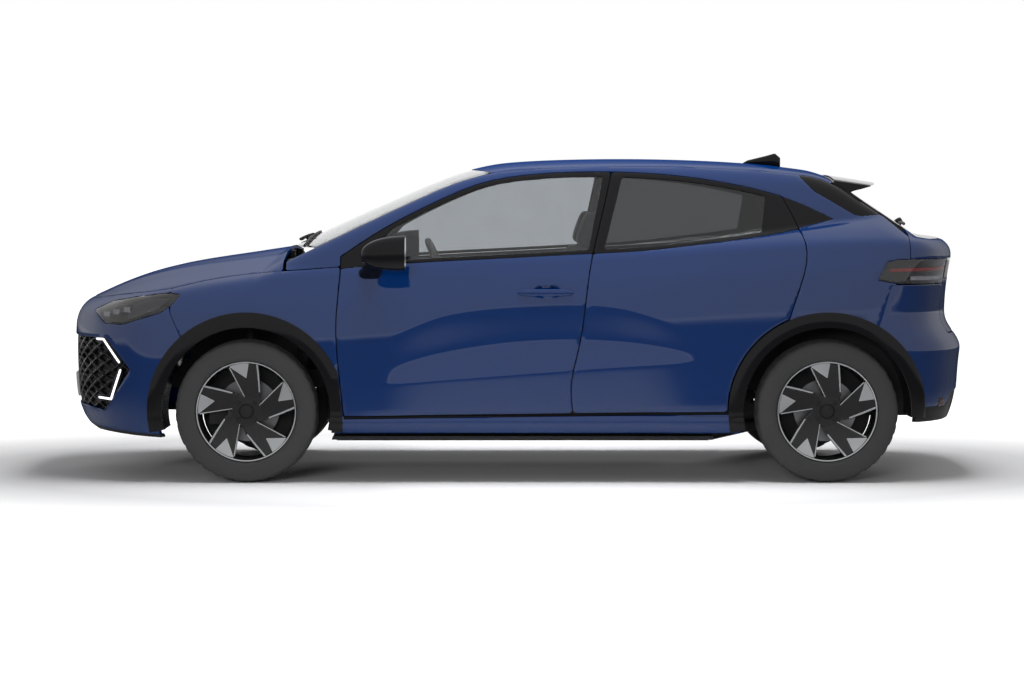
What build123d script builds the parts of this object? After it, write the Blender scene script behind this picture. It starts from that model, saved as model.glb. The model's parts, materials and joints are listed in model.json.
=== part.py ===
"""Five-door hatchback, built as separate panels, glass, running gear and cabin pieces.

Frame: +X towards the tail, +Y to the car's right, +Z up, origin on the ground under the middle of the car.
All sizes are millimetres.
"""
from build123d import *
import math
import os

import numpy as np

# Driving sizes
LENGTH = 4116.0
WIDTH = 1768.0
HEIGHT = 1451.0
WHEELBASE = 2591.0
FRONT_OVERHANG = 853.0
TRACK = 1523.0

# Wheels, tyres and arches
TYRE_DIAMETER = 637.0
TYRE_WIDTH = 205.0
RIM_DIAMETER = 452.0
RIM_WIDTH = 178.0
RIM_WALL = 9.0
SPOKES = 5
HUB_RADIUS = 74.0
SPINDLE_RADIUS = 30.0
RUNNING_CLEARANCE = 0.05
DISC_RADIUS = 140.0
DISC_THICKNESS = 24.0
BOLT_CIRCLE = 100.0
BOLT_COUNT = 4
BOLT_HOLE_RADIUS = 7.0
ARCH_RADIUS = 373.0
ARCH_TRIM_WIDTH = 70.0
ARCH_TRIM_PROUD = 9.0

# Walls, gaps and clearances
SIDE_WALL = 95.0
DOOR_SKIN = 28.0
DOOR_INSET = 36.0
FLANGE_INSET = 20.0
SHUT_GAP = 5.0
SEAT_GAP = 0.4
FENDER_ROOM = 3.0
ROOF_WALL = 32.0
BONNET_WALL = 26.0
BUMPER_WALL = 30.0
TAILGATE_WALL = 70.0
GLASS_THICKNESS = 5.0
GLASS_INSET = 5.0
FLOOR_HEIGHT = 190.0
FLOOR_THICKNESS = 50.0

# Steering and door travel pieces
KINGPIN_LOW = (690.0, 190.0)
KINGPIN_HIGH = (560.0, 890.0)
STRUT_RADIUS = 22.0

# Skin patches
PATCH_DEGREES = (12, 12)
PATCH_DAMPING = 0.01
ROOF_EDGE = 26.0

# Stations and heights at which the outlines below are drawn
DRAWN_STATIONS = (-2058.0, -1205.0, 1386.0, 2058.0)
DRAWN_HALF_WIDTH = 884.0
DRAWN_HEIGHT = 1451.0
FRONT_AXLE = -LENGTH / 2 + FRONT_OVERHANG
REAR_AXLE = FRONT_AXLE + WHEELBASE
BUILT_STATIONS = (-LENGTH / 2, FRONT_AXLE, REAR_AXLE, LENGTH / 2)
WHEEL_Z = TYRE_DIAMETER / 2
WHEEL_Y = TRACK / 2


def stretched(values, start, end):
    """Carries values from one set of stations to another, keeping the slope past the ends."""
    reach = 5000.0
    start = (start[0] - reach, *start, start[-1] + reach)
    end = (end[0] - reach, *end, end[-1] + reach)
    return np.interp(values, start, end)


def built_x(x):
    return stretched(x, DRAWN_STATIONS, BUILT_STATIONS)


def drawn_x(x):
    return stretched(x, BUILT_STATIONS, DRAWN_STATIONS)


def built_z(z):
    return z * HEIGHT / DRAWN_HEIGHT


def smooth(points):
    """A natural cubic curve through (place, value) points, straight past its ends."""
    t, v = (np.array(c, float) for c in zip(*points))
    h = np.diff(t)
    n = len(t)
    a, b = np.eye(n), np.zeros(n)
    for i in range(1, n - 1):
        a[i, i - 1 : i + 2] = h[i - 1], 2 * (h[i - 1] + h[i]), h[i]
        b[i] = 6 * ((v[i + 1] - v[i]) / h[i] - (v[i] - v[i - 1]) / h[i - 1])
    m = np.linalg.solve(a, b)
    first = (v[1] - v[0]) / h[0] - h[0] * m[1] / 6
    last = (v[-1] - v[-2]) / h[-1] + h[-1] * m[-2] / 6

    def curve(x):
        x = np.asarray(x, float)
        i = np.clip(np.searchsorted(t, x) - 1, 0, n - 2)
        p, q = t[i + 1] - x, x - t[i]
        inside = (m[i] * p**3 + m[i + 1] * q**3) / (6 * h[i])
        inside += (v[i] / h[i] - m[i] * h[i] / 6) * p + (v[i + 1] / h[i] - m[i + 1] * h[i] / 6) * q
        inside = np.where(x < t[0], v[0] + first * (x - t[0]), inside)
        return np.where(x > t[-1], v[-1] + last * (x - t[-1]), inside)

    return curve


def smooth_max(a, b, radius):
    """The larger of two fields, with the corner between them rounded."""
    blend = np.maximum(radius - np.abs(a - b), 0.0) / radius
    return np.maximum(a, b) + blend * blend * radius / 4


def smooth_min(a, b, radius):
    return -smooth_max(-a, -b, radius)


# Lines of the body, drawn from the side and from above
shoulder_line = smooth([(-2058, 700), (-1800, 800), (-1578, 852), (-1399, 895), (-1099, 938), (-865, 951),
                        (-487, 980), (2, 1005), (549, 1032), (994, 1062), (1430, 1080), (1700, 1084), (1950, 1080)])
plan_line = smooth([(-2058, 860), (-1205, 872), (-600, 868), (0, 871), (600, 874), (1386, 875), (2058, 858)])
shoulder_turn = smooth([(-120, 300), (-60, 170), (-20, 100), (0, 72), (50, 44), (120, 21), (200, 7), (280, 1),
                        (360, 0), (450, 0), (900, 0)])
scoop_line = smooth([(380, -3), (400, 0), (440, 8), (490, 13), (540, 11), (600, 4), (660, 0), (730, 0), (900, 0)])
sill_line = smooth([(190, 60), (215, 38), (240, 16), (262, 9), (285, 9), (300, 14), (320, 14)])
glass_plan = smooth([(-1300, 735), (-1040, 765), (-865, 785), (-487, 806), (2, 812), (549, 806), (994, 778),
                     (1217, 752), (1430, 716), (1700, 664), (2000, 600)])
bonnet_line = smooth([(-2058, 700), (-2025, 771), (-1969, 818), (-1874, 861), (-1732, 916), (-1590, 955),
                      (-1401, 990), (-1212, 1018), (-1094, 1036), (-1000, 1049), (-800, 1072)])
roof_line = smooth([(-400, 1388), (-171, 1420), (18, 1438), (207, 1447), (444, 1451), (680, 1449), (964, 1438),
                    (1153, 1424), (1342, 1401), (1532, 1370), (1664, 1341), (1800, 1308)])
deck_line = smooth([(1750, 1120), (1872, 1099), (1957, 1089), (2010, 1078)])
nose_line = smooth([(190, -1985), (251, -2010), (312, -2035), (383, -2050), (478, -2056), (587, -2058),
                    (653, -2056), (728, -2049), (790, -2020), (840, -1960)])
tail_line = smooth([(215, 1965), (251, 1995), (312, 2023), (383, 2040), (478, 2048), (560, 2056), (600, 2057),
                    (653, 2030), (710, 1995), (785, 1987), (856, 1992), (965, 2008), (1041, 2008), (1080, 1985)])
SCREEN_FOOT = (-1040.0, 1050.0)
CREASE_HEIGHT = 396.0
DOOR_ZONE = (-640.0, 830.0)
ZONE_FADE = 330.0
NOSE_CORNER = (892.0, 700.0, 2.6)
TAIL_CORNER = (888.0, 560.0, 3.0)
EDGE_RADIUS = 60.0


def door_zone(x):
    """One between the wheels, fading to nothing at the arches."""
    rise = np.clip((x - DOOR_ZONE[0]) / ZONE_FADE, 0, 1)
    fall = np.clip((DOOR_ZONE[1] - x) / ZONE_FADE, 0, 1)
    share = np.minimum(rise, fall)
    return share * share * (3 - 2 * share)


def flank(x, z):
    """Half width of the body below the windows."""
    crease = CREASE_HEIGHT + 0.035 * x
    undercut = np.maximum(crease - z, 0) * 0.2
    lower = np.where(z > crease, scoop_line(z - crease + CREASE_HEIGHT), undercut)
    lower = np.where(z < 300, sill_line(z), lower)
    zone = door_zone(x)
    plain = np.where(z < 300, sill_line(z) - 9, 0)
    return plan_line(x) - shoulder_turn(shoulder_line(x) - z) - zone * lower - (1 - zone) * plain


def greenhouse(x, z):
    """Half width of the body at the side windows, leaning in with height."""
    rise = z - 1000
    return glass_plan(x) - 0.30 * rise - 0.00027 * rise * rise


def screen(x, y):
    back = x - 100 * (y / 660) ** 2 - SCREEN_FOOT[0]
    return SCREEN_FOOT[1] + 0.475 * back - 0.000045 * back * back


def top(x, y):
    """Height of bonnet, screen, roof, rear window and tail deck."""
    bonnet = bonnet_line(x) - 92 * (np.abs(y) / 740) ** 2.2
    roof = roof_line(x) - 30 * (y / 590) ** 2
    rear_glass = 1268 - 0.656 * (x + 60 * (y / 560) ** 2 - 1612)
    deck = deck_line(x) - 20 * (y / 700) ** 2
    cabin = smooth_min(smooth_min(screen(x, y), roof, 50), rear_glass, 50)
    front = np.where(x < -700, bonnet, 0)
    return np.maximum(np.maximum(front, cabin), np.where(x > 1500, deck, 0))


def corner(x, y, tip, half, depth, power):
    """Rounded plan corner: zero on the skin, in millimetres inside and out."""
    along = np.abs(tip) - np.abs(x)
    past = np.clip(depth - along, 0, None) / depth
    return ((np.abs(y) / half) ** power + past**power) ** (1 / power) * half - half


def whole_side(x, z):
    return smooth_max(flank(x, z), greenhouse(x, z), 22)


def skin(x, y, z, side_line=whole_side):
    """Negative inside the body, positive outside, near zero on its skin. Arguments are built sizes."""
    x = drawn_x(x)
    y = np.abs(y) * DRAWN_HALF_WIDTH / (WIDTH / 2)
    z = z * DRAWN_HEIGHT / HEIGHT
    side = y - side_line(x, z)
    lid = (z - top(x, y)) * 0.9
    nose = corner(np.minimum(x, 0), y, nose_line(z), *NOSE_CORNER)
    tail = corner(np.maximum(x, 0), y, tail_line(z), *TAIL_CORNER)
    ends = np.where(x < 0, nose, tail)
    return smooth_max(smooth_max(side, lid, EDGE_RADIUS), ends, 40)


def meet(place, low, high, side_line=whole_side):
    """Where the skin is crossed between low (inside) and high (outside), for place(t) giving points."""
    for _ in range(40):
        mid = (low + high) / 2
        outside = skin(*place(mid), side_line) > 0
        high = np.where(outside, mid, high)
        low = np.where(outside, low, mid)
    return (low + high) / 2


def side_y(x, z, side_line=whole_side):
    x, z = np.broadcast_arrays(np.asarray(x, float), np.asarray(z, float))
    return meet(lambda t: (x, t, z), np.full(x.shape, 50.0), np.full(x.shape, WIDTH), side_line)


def top_z(x, y):
    x, y = np.broadcast_arrays(np.asarray(x, float), np.asarray(y, float))
    return meet(lambda t: (x, y, t), np.full(x.shape, 450.0), np.full(x.shape, HEIGHT + 300))


def fan_r(axis_x, angle, z):
    """Distance from a vertical line in the middle of the car to the skin, along a plan angle."""
    angle, z = np.broadcast_arrays(np.asarray(angle, float), np.asarray(z, float))
    c, s = np.cos(angle), np.sin(angle)
    return meet(lambda t: (axis_x + t * c, t * s, z), np.full(z.shape, 100.0), np.full(z.shape, 1500.0))


def hatch_r(axis_x, axis_z, angle, y):
    """Distance from a line across the car to the skin, along an angle up from the tail's direction."""
    angle, y = np.broadcast_arrays(np.asarray(angle, float), np.asarray(y, float))
    c, s = np.cos(angle), np.sin(angle)
    return meet(lambda t: (axis_x + t * c, y, axis_z + t * s), np.full(y.shape, 100.0), np.full(y.shape, 1500.0))

# Outlines drawn on the side of the car, as (along, height) points
bonnet_edge = smooth([(-2010, 806), (-1900, 820), (-1750, 840), (-1568, 862), (-1399, 900), (-1270, 921),
                      (-1099, 940), (-1020, 946)])
BONNET_REAR = -1045.0
BONNET_FRONT_CORNER = -1780.0
HEADLAMP = [(-1905, 767), (-1821, 806), (-1705, 827), (-1568, 844), (-1499, 840), (-1533, 798), (-1585, 759),
            (-1766, 704), (-1851, 708), (-1885, 740)]
GRILLE = [(-2140, 640), (-1930, 641), (-1845, 643), (-1728, 504), (-1853, 315), (-1952, 330), (-2140, 330)]
BUMPER_SPLIT = [(-1545, 930), (-1545, 760), (-1490, 640), (-1380, 560)]
REAR_DOOR_TAIL = [(1218, 745), (1267, 893), (1291, 990), (1293, 1039), (1267, 1136), (1191, 1265)]
WINDOW_TOP = smooth([(-865, 951), (-679, 1081), (-484, 1194), (-289, 1287), (-146, 1341), (2, 1369), (195, 1385),
                     (554, 1384), (823, 1359), (1025, 1323), (1227, 1268), (1442, 1171)])
BELT = smooth([(-865, 951), (-487, 981), (2, 1007), (330, 1024), (549, 1036), (816, 1065), (994, 1087),
               (1217, 1123), (1430, 1172)])
FRONT_WINDOW_ENDS = ((-690, -560), (322, 388))
REAR_WINDOW_ENDS = ((392, 476), (1098, 1120))
WINDOW_FRAME = 24.0
BELT_SEAL = 13.0
TAIL_LAMP = [(1608, 905), (1650, 985), (1700, 996), (2100, 1000), (2100, 886), (1757, 886), (1690, 890)]
REAR_BUMPER_SPLIT = [(1560, 560), (1598, 667), (1624, 729), (1668, 880), (1700, 884), (2150, 884)]
TAILGATE_HALF = 606.0
TAILGATE_FOOT = 660.0
TAILGATE_TOP = 1440.0


def built(points):
    return [(float(built_x(x)), float(built_z(z))) for x, z in points]


def prism(points, y0, y1, drawn=True):
    """A straight-sided block: an outline seen from the side, from y0 to y1 across the car."""
    outline = built(points) if drawn else points
    wire = Polyline(*[(x, 0, z) for x, z in outline], close=True)
    return extrude(make_face(wire), amount=y1 - y0, dir=(0, 1, 0)).moved(Location((0, y0, 0)))


def box(x0, x1, y0, y1, z0, z1):
    return Pos((x0 + x1) / 2, (y0 + y1) / 2, (z0 + z1) / 2) * Box(x1 - x0, y1 - y0, z1 - z0)


def rod(start, end, radius):
    """A round bar between two points."""
    start, end = Vector(start), Vector(end)
    return extrude(Plane(origin=start, z_dir=end - start) * Circle(radius), amount=(end - start).length)


def wheel_drum(x, radius, y0, y1):
    """A round block about a wheel's axle line."""
    return rod((x, y0, WHEEL_Z), (x, y1, WHEEL_Z), radius)


def bernstein(count, degree):
    """Weights of a smooth polynomial patch's control points at evenly spaced places."""
    t = np.linspace(0, 1, count)[:, None]
    k = np.arange(degree + 1)[None, :]
    ways = np.array([math.comb(degree, i) for i in range(degree + 1)], float)
    return ways * t**k * (1 - t) ** (degree - k)


def control_net(points, degrees=PATCH_DEGREES):
    """Control points of one smooth patch close to a grid of skin points, by damped least squares."""
    points = np.asarray(points, float)
    nets = []
    for count, degree in zip(points.shape[:2], degrees):
        weights = bernstein(count, degree)
        bend = np.diff(np.eye(degree + 1), 3, axis=0)
        nets.append(np.linalg.solve(weights.T @ weights + PATCH_DAMPING * bend.T @ bend, weights.T))
    return np.einsum("ai,ijc,bj->abc", nets[0], points, nets[1])


def patch(net):
    return Face.make_bezier_surface([[tuple(p) for p in row] for row in net.tolist()])


def slab(outer, inner):
    """The solid between two patches given by their control points."""
    nets = [outer, inner]
    for pick in (np.s_[0, :], np.s_[-1, :], np.s_[:, 0], np.s_[:, -1]):
        nets.append(np.stack([outer[pick], inner[pick]]))
    solid = Solid(Shell([patch(net) for net in nets]))
    return solid if solid.volume > 0 else slab(outer[::-1], inner[::-1])


def edge_y(x):
    """Half width at which side and top of the cabin would meet, at built stations."""
    d = drawn_x(np.asarray(x, float))
    y = np.full(d.shape, 600.0)
    for _ in range(30):
        z = top(d, y)
        y = 0.5 * y + 0.5 * np.maximum(flank(d, z), greenhouse(d, z))
    return y * WIDTH / 2 / DRAWN_HALF_WIDTH


def split_y(x):
    return edge_y(x) - ROOF_EDGE


def fan_slab(axis_x, angles, heights, inset, wall):
    """The skin round the nose or tail, seen from an upright line inside the car."""
    a, z = np.meshgrid(angles, heights, indexing="ij")
    reach = fan_r(axis_x, a, z)
    nets = []
    for depth in (inset, inset + wall):
        r = reach - depth
        nets.append(control_net(np.stack([axis_x + r * np.cos(a), r * np.sin(a), z], -1)))
    return slab(*nets)


def both_sides(shape):
    return shape, mirror(shape, about=Plane.XZ)


parts = {}


def keep(name, shape):
    """Stores a piece under its node's name, as one solid or several that stand apart."""
    solids = shape.solids() if hasattr(shape, "solids") else ShapeList(shape)
    parts[name] = solids[0] if len(solids) == 1 else Compound(children=list(solids))


def keep_pair(name, right):
    keep(name + "_right", right)
    keep(name + "_left", mirror(right, about=Plane.XZ))


RUN_SAMPLES = 13
LEAD = 90.0


def curve_points(run):
    """Even steps along a smooth curve through a run of drawn points, in built sizes; a run of two stays."""
    points = np.array(built(run))
    if len(run) == 2:
        return points
    place = np.r_[0, np.cumsum(np.hypot(*np.diff(points, axis=0).T))]
    steps = np.linspace(0, place[-1], RUN_SAMPLES)
    return np.stack([smooth(list(zip(place, column)))(steps) for column in points.T], -1)


def shifted(points, amount):
    """A run of points moved to its right-hand side and carried straight on at both ends."""
    along = np.gradient(points, axis=0)
    along /= np.hypot(*along.T)[:, None]
    moved = points + amount * along[:, ::-1] * (1, -1)
    return np.vstack([moved[0] - LEAD * along[0], moved, moved[-1] + LEAD * along[-1]])


def crossing(first, second, near):
    """Where two runs cross nearest to a point: the places along them, counted in steps, and the crossing."""
    a, b = np.diff(first, axis=0)[:, None], np.diff(second, axis=0)[None]
    gap = second[None, :-1] - first[:-1, None]
    turn = a[..., 0] * b[..., 1] - a[..., 1] * b[..., 0]
    turn = np.where(np.abs(turn) < 1e-9, 1e-9, turn)
    s = (gap[..., 0] * b[..., 1] - gap[..., 1] * b[..., 0]) / turn
    t = (gap[..., 0] * a[..., 1] - gap[..., 1] * a[..., 0]) / turn
    point = first[:-1, None] + s[..., None] * a
    apart = np.hypot(*np.moveaxis(point - near, -1, 0))
    apart[(s < 0) | (s > 1) | (t < 0) | (t > 1)] = np.inf
    i, j = np.unravel_index(np.argmin(apart), apart.shape)
    return i + s[i, j], j + t[i, j], point[i, j]


def outline_face(runs, grow):
    """A closed outline seen from the side, moved outwards by grow."""
    around = np.vstack(runs)
    area = np.sum(around[:, 0] * np.roll(around[:, 1], -1) - around[:, 1] * np.roll(around[:, 0], -1))
    moved = [shifted(run, grow * np.sign(area)) for run in runs]
    corners = [crossing(run, moved[(i + 1) % len(moved)], runs[i][-1]) for i, run in enumerate(moved)]
    edges = []
    for i, run in enumerate(moved):
        start, end = corners[i - 1][1], corners[i][0]
        inner = [p for k, p in enumerate(run[1:-1], 1) if start + 0.3 < k < end - 0.3]
        points = [corners[i - 1][2], *inner, corners[i][2]]
        places = [(x, 0, z) for x, z in points]
        edges.append(Spline(*places) if len(runs[i]) > 2 else Line(places[0], places[-1]))
    return make_face(edges)


def through(face, y0=300.0, y1=1100.0):
    """The block that an outline cuts right through the car's right-hand side."""
    return extrude(face, amount=y1 - y0, dir=(0, 1, 0)).moved(Location((0, y0, 0)))


def window_top_points(x0, x1, drop, count=7):
    return [(x, float(WINDOW_TOP(x)) - drop) for x in np.linspace(x0, x1, count)]


def belt_points(x0, x1, rise, count=5):
    return [(x, float(BELT(x)) + rise) for x in np.linspace(x0, x1, count)]


def closed_outline(*runs):
    """Runs of drawn points as built curves, with a straight run wherever two don't meet."""
    closed = []
    for i, run in enumerate(runs):
        after = runs[(i + 1) % len(runs)]
        closed.append(curve_points(run))
        if math.dist(run[-1], after[0]) > 1e-6:
            closed.append(curve_points([run[-1], after[0]]))
    return closed


DOOR_FRONT_RUN = [(-785, float(WINDOW_TOP(-785))), (-786, 950), (-803, 720), (-792, 500), (-770, 297)]
B_RUN = [(252, 309), (243, 440), (275, 590), (330, 965), (385, 1200), (428, 1380)]


REAR_HEAD_DROP = 1.5


def front_door_outline():
    head = float(WINDOW_TOP(428))
    b_run = B_RUN[:-1] + [(428, head)]
    return closed_outline(DOOR_FRONT_RUN, b_run, window_top_points(428, -785, 0, 9))


def rear_door_outline():
    b_run = (B_RUN[:-1] + [(428, float(WINDOW_TOP(428)) - REAR_HEAD_DROP)])[::-1]
    tail = [(1150, 560), (1190, 660), *REAR_DOOR_TAIL[:-1], (1195, float(WINDOW_TOP(1195)) - REAR_HEAD_DROP)]
    foot = [(252, 309), (1020, 318)]
    return closed_outline(b_run, foot, tail, window_top_points(1195, 428, REAR_HEAD_DROP, 8))


def front_window_outline():
    (foot0, head0), (foot1, head1) = FRONT_WINDOW_ENDS
    return closed_outline(belt_points(foot0, foot1, BELT_SEAL), window_top_points(head1, head0, WINDOW_FRAME))


def rear_window_outline():
    (foot0, head0), (foot1, head1) = REAR_WINDOW_ENDS
    return closed_outline(belt_points(foot0, foot1, BELT_SEAL), window_top_points(head1, head0, WINDOW_FRAME))


# Right-hand skin from the pillar foot to the tail corner, as a flank and a cabin side that cross
SIDE_FROM, SIDE_TO = -1030.0, 1770.0
side_x = built_x(np.linspace(SIDE_FROM, SIDE_TO, 90))
side_rows = np.linspace(0, 1, 60)
roof_z = top_z(side_x, split_y(side_x))


def side_net(low, high, side_line):
    z = low[:, None] + (high - low)[:, None] * side_rows
    x = np.broadcast_to(side_x[:, None], z.shape)
    return np.stack([x, side_y(x, z, side_line), z], -1)


def flank_grid():
    drawn = drawn_x(side_x)
    low = np.full(drawn.shape, built_z(SKIN_FOOT))
    high = built_z(np.minimum(shoulder_line(drawn) + FLANK_ABOVE, roof_z - 4))
    return side_net(low, high, flank)


def cabin_grid():
    drawn = drawn_x(side_x)
    low = built_z(np.minimum(shoulder_line(drawn) - CABIN_BELOW, roof_z - 60))
    return side_net(low, roof_z - 1, greenhouse)


FLANK_ABOVE, CABIN_BELOW, SKIN_FOOT = 60.0, 260.0, 205.0
flank_net, cabin_net = control_net(flank_grid()), control_net(cabin_grid())


def side_layer(depth, wall):
    """A layer of the right-hand side, starting depth below the skin."""
    layers = []
    for net in (flank_net, cabin_net):
        layers.append(slab(net - (0, depth, 0), net - (0, depth + wall, 0)))
    return layers[0] + layers[1]


right_side = side_layer(0, SIDE_WALL)
ARCH_OUTER = ARCH_RADIUS + ARCH_TRIM_WIDTH
FENDER_CUT = ARCH_RADIUS + 27.0
NEAR, FAR = 300.0, 1100.0


def front_handle():
    """A bar along the door skin on two posts."""
    x0, x1, low, high = built_x(10.0), built_x(250.0), 836.0, 858.0
    skin_at = float(side_y(built_x(130.0), 847.0))
    bar = box(x0, x1, skin_at + 8, skin_at + 24, low, high)
    for x in (x0, x1 - 30):
        bar += box(x, x + 30, skin_at - 12, skin_at + 10, low, high)
    return bar


def make_doors():
    deep = side_layer(DOOR_SKIN, SIDE_WALL + 40)
    pane = slab(cabin_net - (0, GLASS_INSET, 0), cabin_net - (0, GLASS_INSET + GLASS_THICKNESS, 0))
    doors = {
        "front": (front_door_outline(), front_window_outline()),
        "rear": (rear_door_outline(), rear_window_outline()),
    }
    for name, (outline, window) in doors.items():
        body = right_side & through(outline_face(outline, -SHUT_GAP / 2))
        core = through(outline_face(outline, -DOOR_INSET))
        if name == "rear":
            body -= wheel_drum(REAR_AXLE, ARCH_OUTER + SHUT_GAP, NEAR, FAR)
            core -= wheel_drum(REAR_AXLE, ARCH_OUTER + SHUT_GAP + DOOR_INSET, NEAR, FAR)
        body -= deep - core
        body -= through(outline_face(window, 0))
        if name == "front":
            body += front_handle()
        glass = pane & through(outline_face(window, -SEAT_GAP))
        keep_pair(name + "_door", body)
        keep_pair(name + "_door_glass", glass)


SCREEN_SWEEP = 85.0
HEADER = -212.0
SCREEN_BASE = -1028.0


def swept(x, y):
    """A line across the car at drawn station x that falls back towards the sides."""
    return built_x(x + SCREEN_SWEEP * (y / 600) ** 2)


def plan_patch(front, rear, half, rows=60, columns=60):
    """Skin from above between two lines across the car and out to half the width at each station."""
    s = np.linspace(-1, 1, columns)[None, :]
    v = np.linspace(0, 1, rows)[:, None]
    y = np.broadcast_to(500.0 * s, (rows, columns))
    for _ in range(25):
        x = front(y) + (rear(y) - front(y)) * v
        y = s * half(x)
    return np.stack([x, y, top_z(x, y)], -1)


def lid(net, inset, wall):
    """A panel under the skin seen from above; a negative wall gives the space over it."""
    return slab(net - (0, 0, inset), net - (0, 0, inset + wall))


def roof_half(x):
    return split_y(x) - SEAT_GAP


def roof_rear(y):
    return np.full(np.shape(y), built_x(TAILGATE_TOP) - SHUT_GAP)


roof_net = control_net(plan_patch(lambda y: swept(HEADER, y) + SEAT_GAP, roof_rear, roof_half))
screen_net = control_net(plan_patch(lambda y: swept(SCREEN_BASE, y), lambda y: swept(HEADER, y), roof_half))
screen_room_net = control_net(plan_patch(lambda y: swept(SCREEN_BASE, y), lambda y: swept(HEADER, y) + 10, roof_half))
SCREEN_INSET, SCREEN_THICKNESS = 3.0, 6.0


def make_top_panels():
    keep("roof_panel", lid(roof_net, 0, ROOF_WALL))
    keep("windscreen", lid(screen_net, SCREEN_INSET, SCREEN_THICKNESS))


# Tailgate, seen from a line across the car
HATCH_AXIS = (built_x(1250.0), built_z(700.0))
HATCH_ANGLES = np.radians(np.linspace(-4, 76, 80))
HATCH_DEGREES = (20, 8)


def hatch_net(inset):
    a, y = np.meshgrid(HATCH_ANGLES, np.linspace(-TAILGATE_HALF, TAILGATE_HALF, 50), indexing="ij")
    r = hatch_r(*HATCH_AXIS, a, y) - inset
    grid = np.stack([HATCH_AXIS[0] + r * np.cos(a), y, HATCH_AXIS[1] + r * np.sin(a)], -1)
    return control_net(grid, HATCH_DEGREES)


def hatch_layer(inset, wall):
    return slab(hatch_net(inset), hatch_net(inset + wall))


def plan_block(points):
    """An outline drawn from above, the same on both sides of the car, through the whole height."""
    right = [(float(built_x(x)), y) for x, y in points]
    left = [(x, -y) for x, y in right[::-1]]
    return extrude(make_face(Polyline(*right, *left, close=True)), amount=2000)


TAILGATE_PLAN = [(1440, 528), (1600, 548), (1700, 580), (1780, 603), (2200, 603)]
REAR_GLASS_PLAN = [(1476, 450), (1600, 480), (1700, 515), (1850, 545)]
GATE_LAMP = (430.0, 596.0, 905.0, 1000.0, 20.0)
SPOILER_FROM, SPOILER_TO, SPOILER_HALF = 1446.0, 1664.0, 520.0


def spoiler_grid(drop):
    x, s = np.meshgrid(np.linspace(SPOILER_FROM, SPOILER_TO, 30), np.linspace(-1, 1, 30), indexing="ij")
    y = s * SPOILER_HALF
    z = roof_line(SPOILER_FROM) - 8 - 0.155 * (x - SPOILER_FROM) - 30 * (y / 590) ** 2
    return np.stack([built_x(x), y, built_z(z) - drop], -1)


def make_tailgate():
    low_z = built_z(TAILGATE_FOOT) + SHUT_GAP / 2
    room = plan_block(TAILGATE_PLAN) & box(built_x(TAILGATE_TOP), LENGTH, -WIDTH, WIDTH, low_z, HEIGHT + 100)
    gate = hatch_layer(0, TAILGATE_WALL) & room
    gate -= plan_block(REAR_GLASS_PLAN) & box(0, LENGTH, -WIDTH, WIDTH, built_z(1085), HEIGHT + 100)
    glass_room = [(x, y - SEAT_GAP) for x, y in REAR_GLASS_PLAN]
    glass_room[0] = (glass_room[0][0] + SEAT_GAP, glass_room[0][1])
    glass_room[-1] = (glass_room[-1][0] - SEAT_GAP, glass_room[-1][1])
    glass = hatch_layer(GLASS_INSET, GLASS_THICKNESS) & plan_block(glass_room)
    nets = [control_net(spoiler_grid(drop), (3, 6)) for drop in (0.0, 16.0)]
    spoiler = slab(*nets)
    gate -= slab(nets[0] + (0, 0, 60), nets[1] - (0, 0, SEAT_GAP))
    y0, y1, z0, z1, depth = GATE_LAMP
    lamp_room = box(1800, LENGTH, y0, y1, built_z(z0), built_z(z1))
    lamp = hatch_layer(0, depth) & lamp_room
    pocket = box(1800, LENGTH, y0 - SEAT_GAP, y1 + SEAT_GAP, built_z(z0) - SEAT_GAP, built_z(z1) + SEAT_GAP)
    pocket &= hatch_layer(-40, depth + 40 + SEAT_GAP)
    for shape in both_sides(pocket):
        gate -= shape
    keep("tailgate", gate)
    keep("tailgate_glass", glass)
    keep("spoiler", spoiler)
    keep("tailgate_lamps", both_sides(lamp))


def make_body_sides():
    region = [(-1040, 952), (-850, 945), (-850, 760), (-803, 640), (-797, 250), (-768, 222), (1386, 222),
              (1500, 400), *REAR_BUMPER_SPLIT[:-2], (1700, 885), (1755, 885), (1755, 1600), (-1040, 1600)]
    side = right_side & prism(region, NEAR, FAR)
    outer = side_layer(-60, 60 + DOOR_SKIN + SHUT_GAP)
    fender_zone = [(-1100, 150), (-772, 150), (-772, 297), (-792, 500), (-803, 720), (-787, 950), (-865, 951.5),
                   (-1100, 946)]
    side -= side_layer(-60, 60 + DOOR_SKIN + SHUT_GAP + FENDER_ROOM) & prism(fender_zone, NEAR, FAR)
    rear_arch = wheel_drum(REAR_AXLE, ARCH_OUTER, NEAR, FAR)
    rear_lip = wheel_drum(REAR_AXLE, ARCH_OUTER + FLANGE_INSET, NEAR, FAR)
    for outline, arch, lip in ((front_door_outline(), None, None), (rear_door_outline(), rear_arch, rear_lip)):
        shut = through(outline_face(outline, SHUT_GAP / 2))
        inner = through(outline_face(outline, -FLANGE_INSET))
        if arch is not None:
            shut -= arch
            inner -= lip
        side -= outer & shut
        side -= inner
    side -= wheel_drum(REAR_AXLE, FENDER_CUT, NEAR, FAR)
    side -= wheel_drum(FRONT_AXLE, FENDER_CUT, NEAR, FAR)
    side -= prism(TAIL_LAMP, NEAR, FAR)
    side -= lid(roof_net, ROOF_WALL + SEAT_GAP, -200)
    side -= lid(screen_room_net, SCREEN_INSET + SCREEN_THICKNESS + SEAT_GAP, -200)
    gate_room = plan_block([(x, y + SHUT_GAP) for x, y in TAILGATE_PLAN])
    side -= gate_room & box(built_x(TAILGATE_TOP) - SHUT_GAP, LENGTH, -WIDTH, WIDTH, 600, HEIGHT + 300)
    keep_pair("body_side", side)


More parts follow.
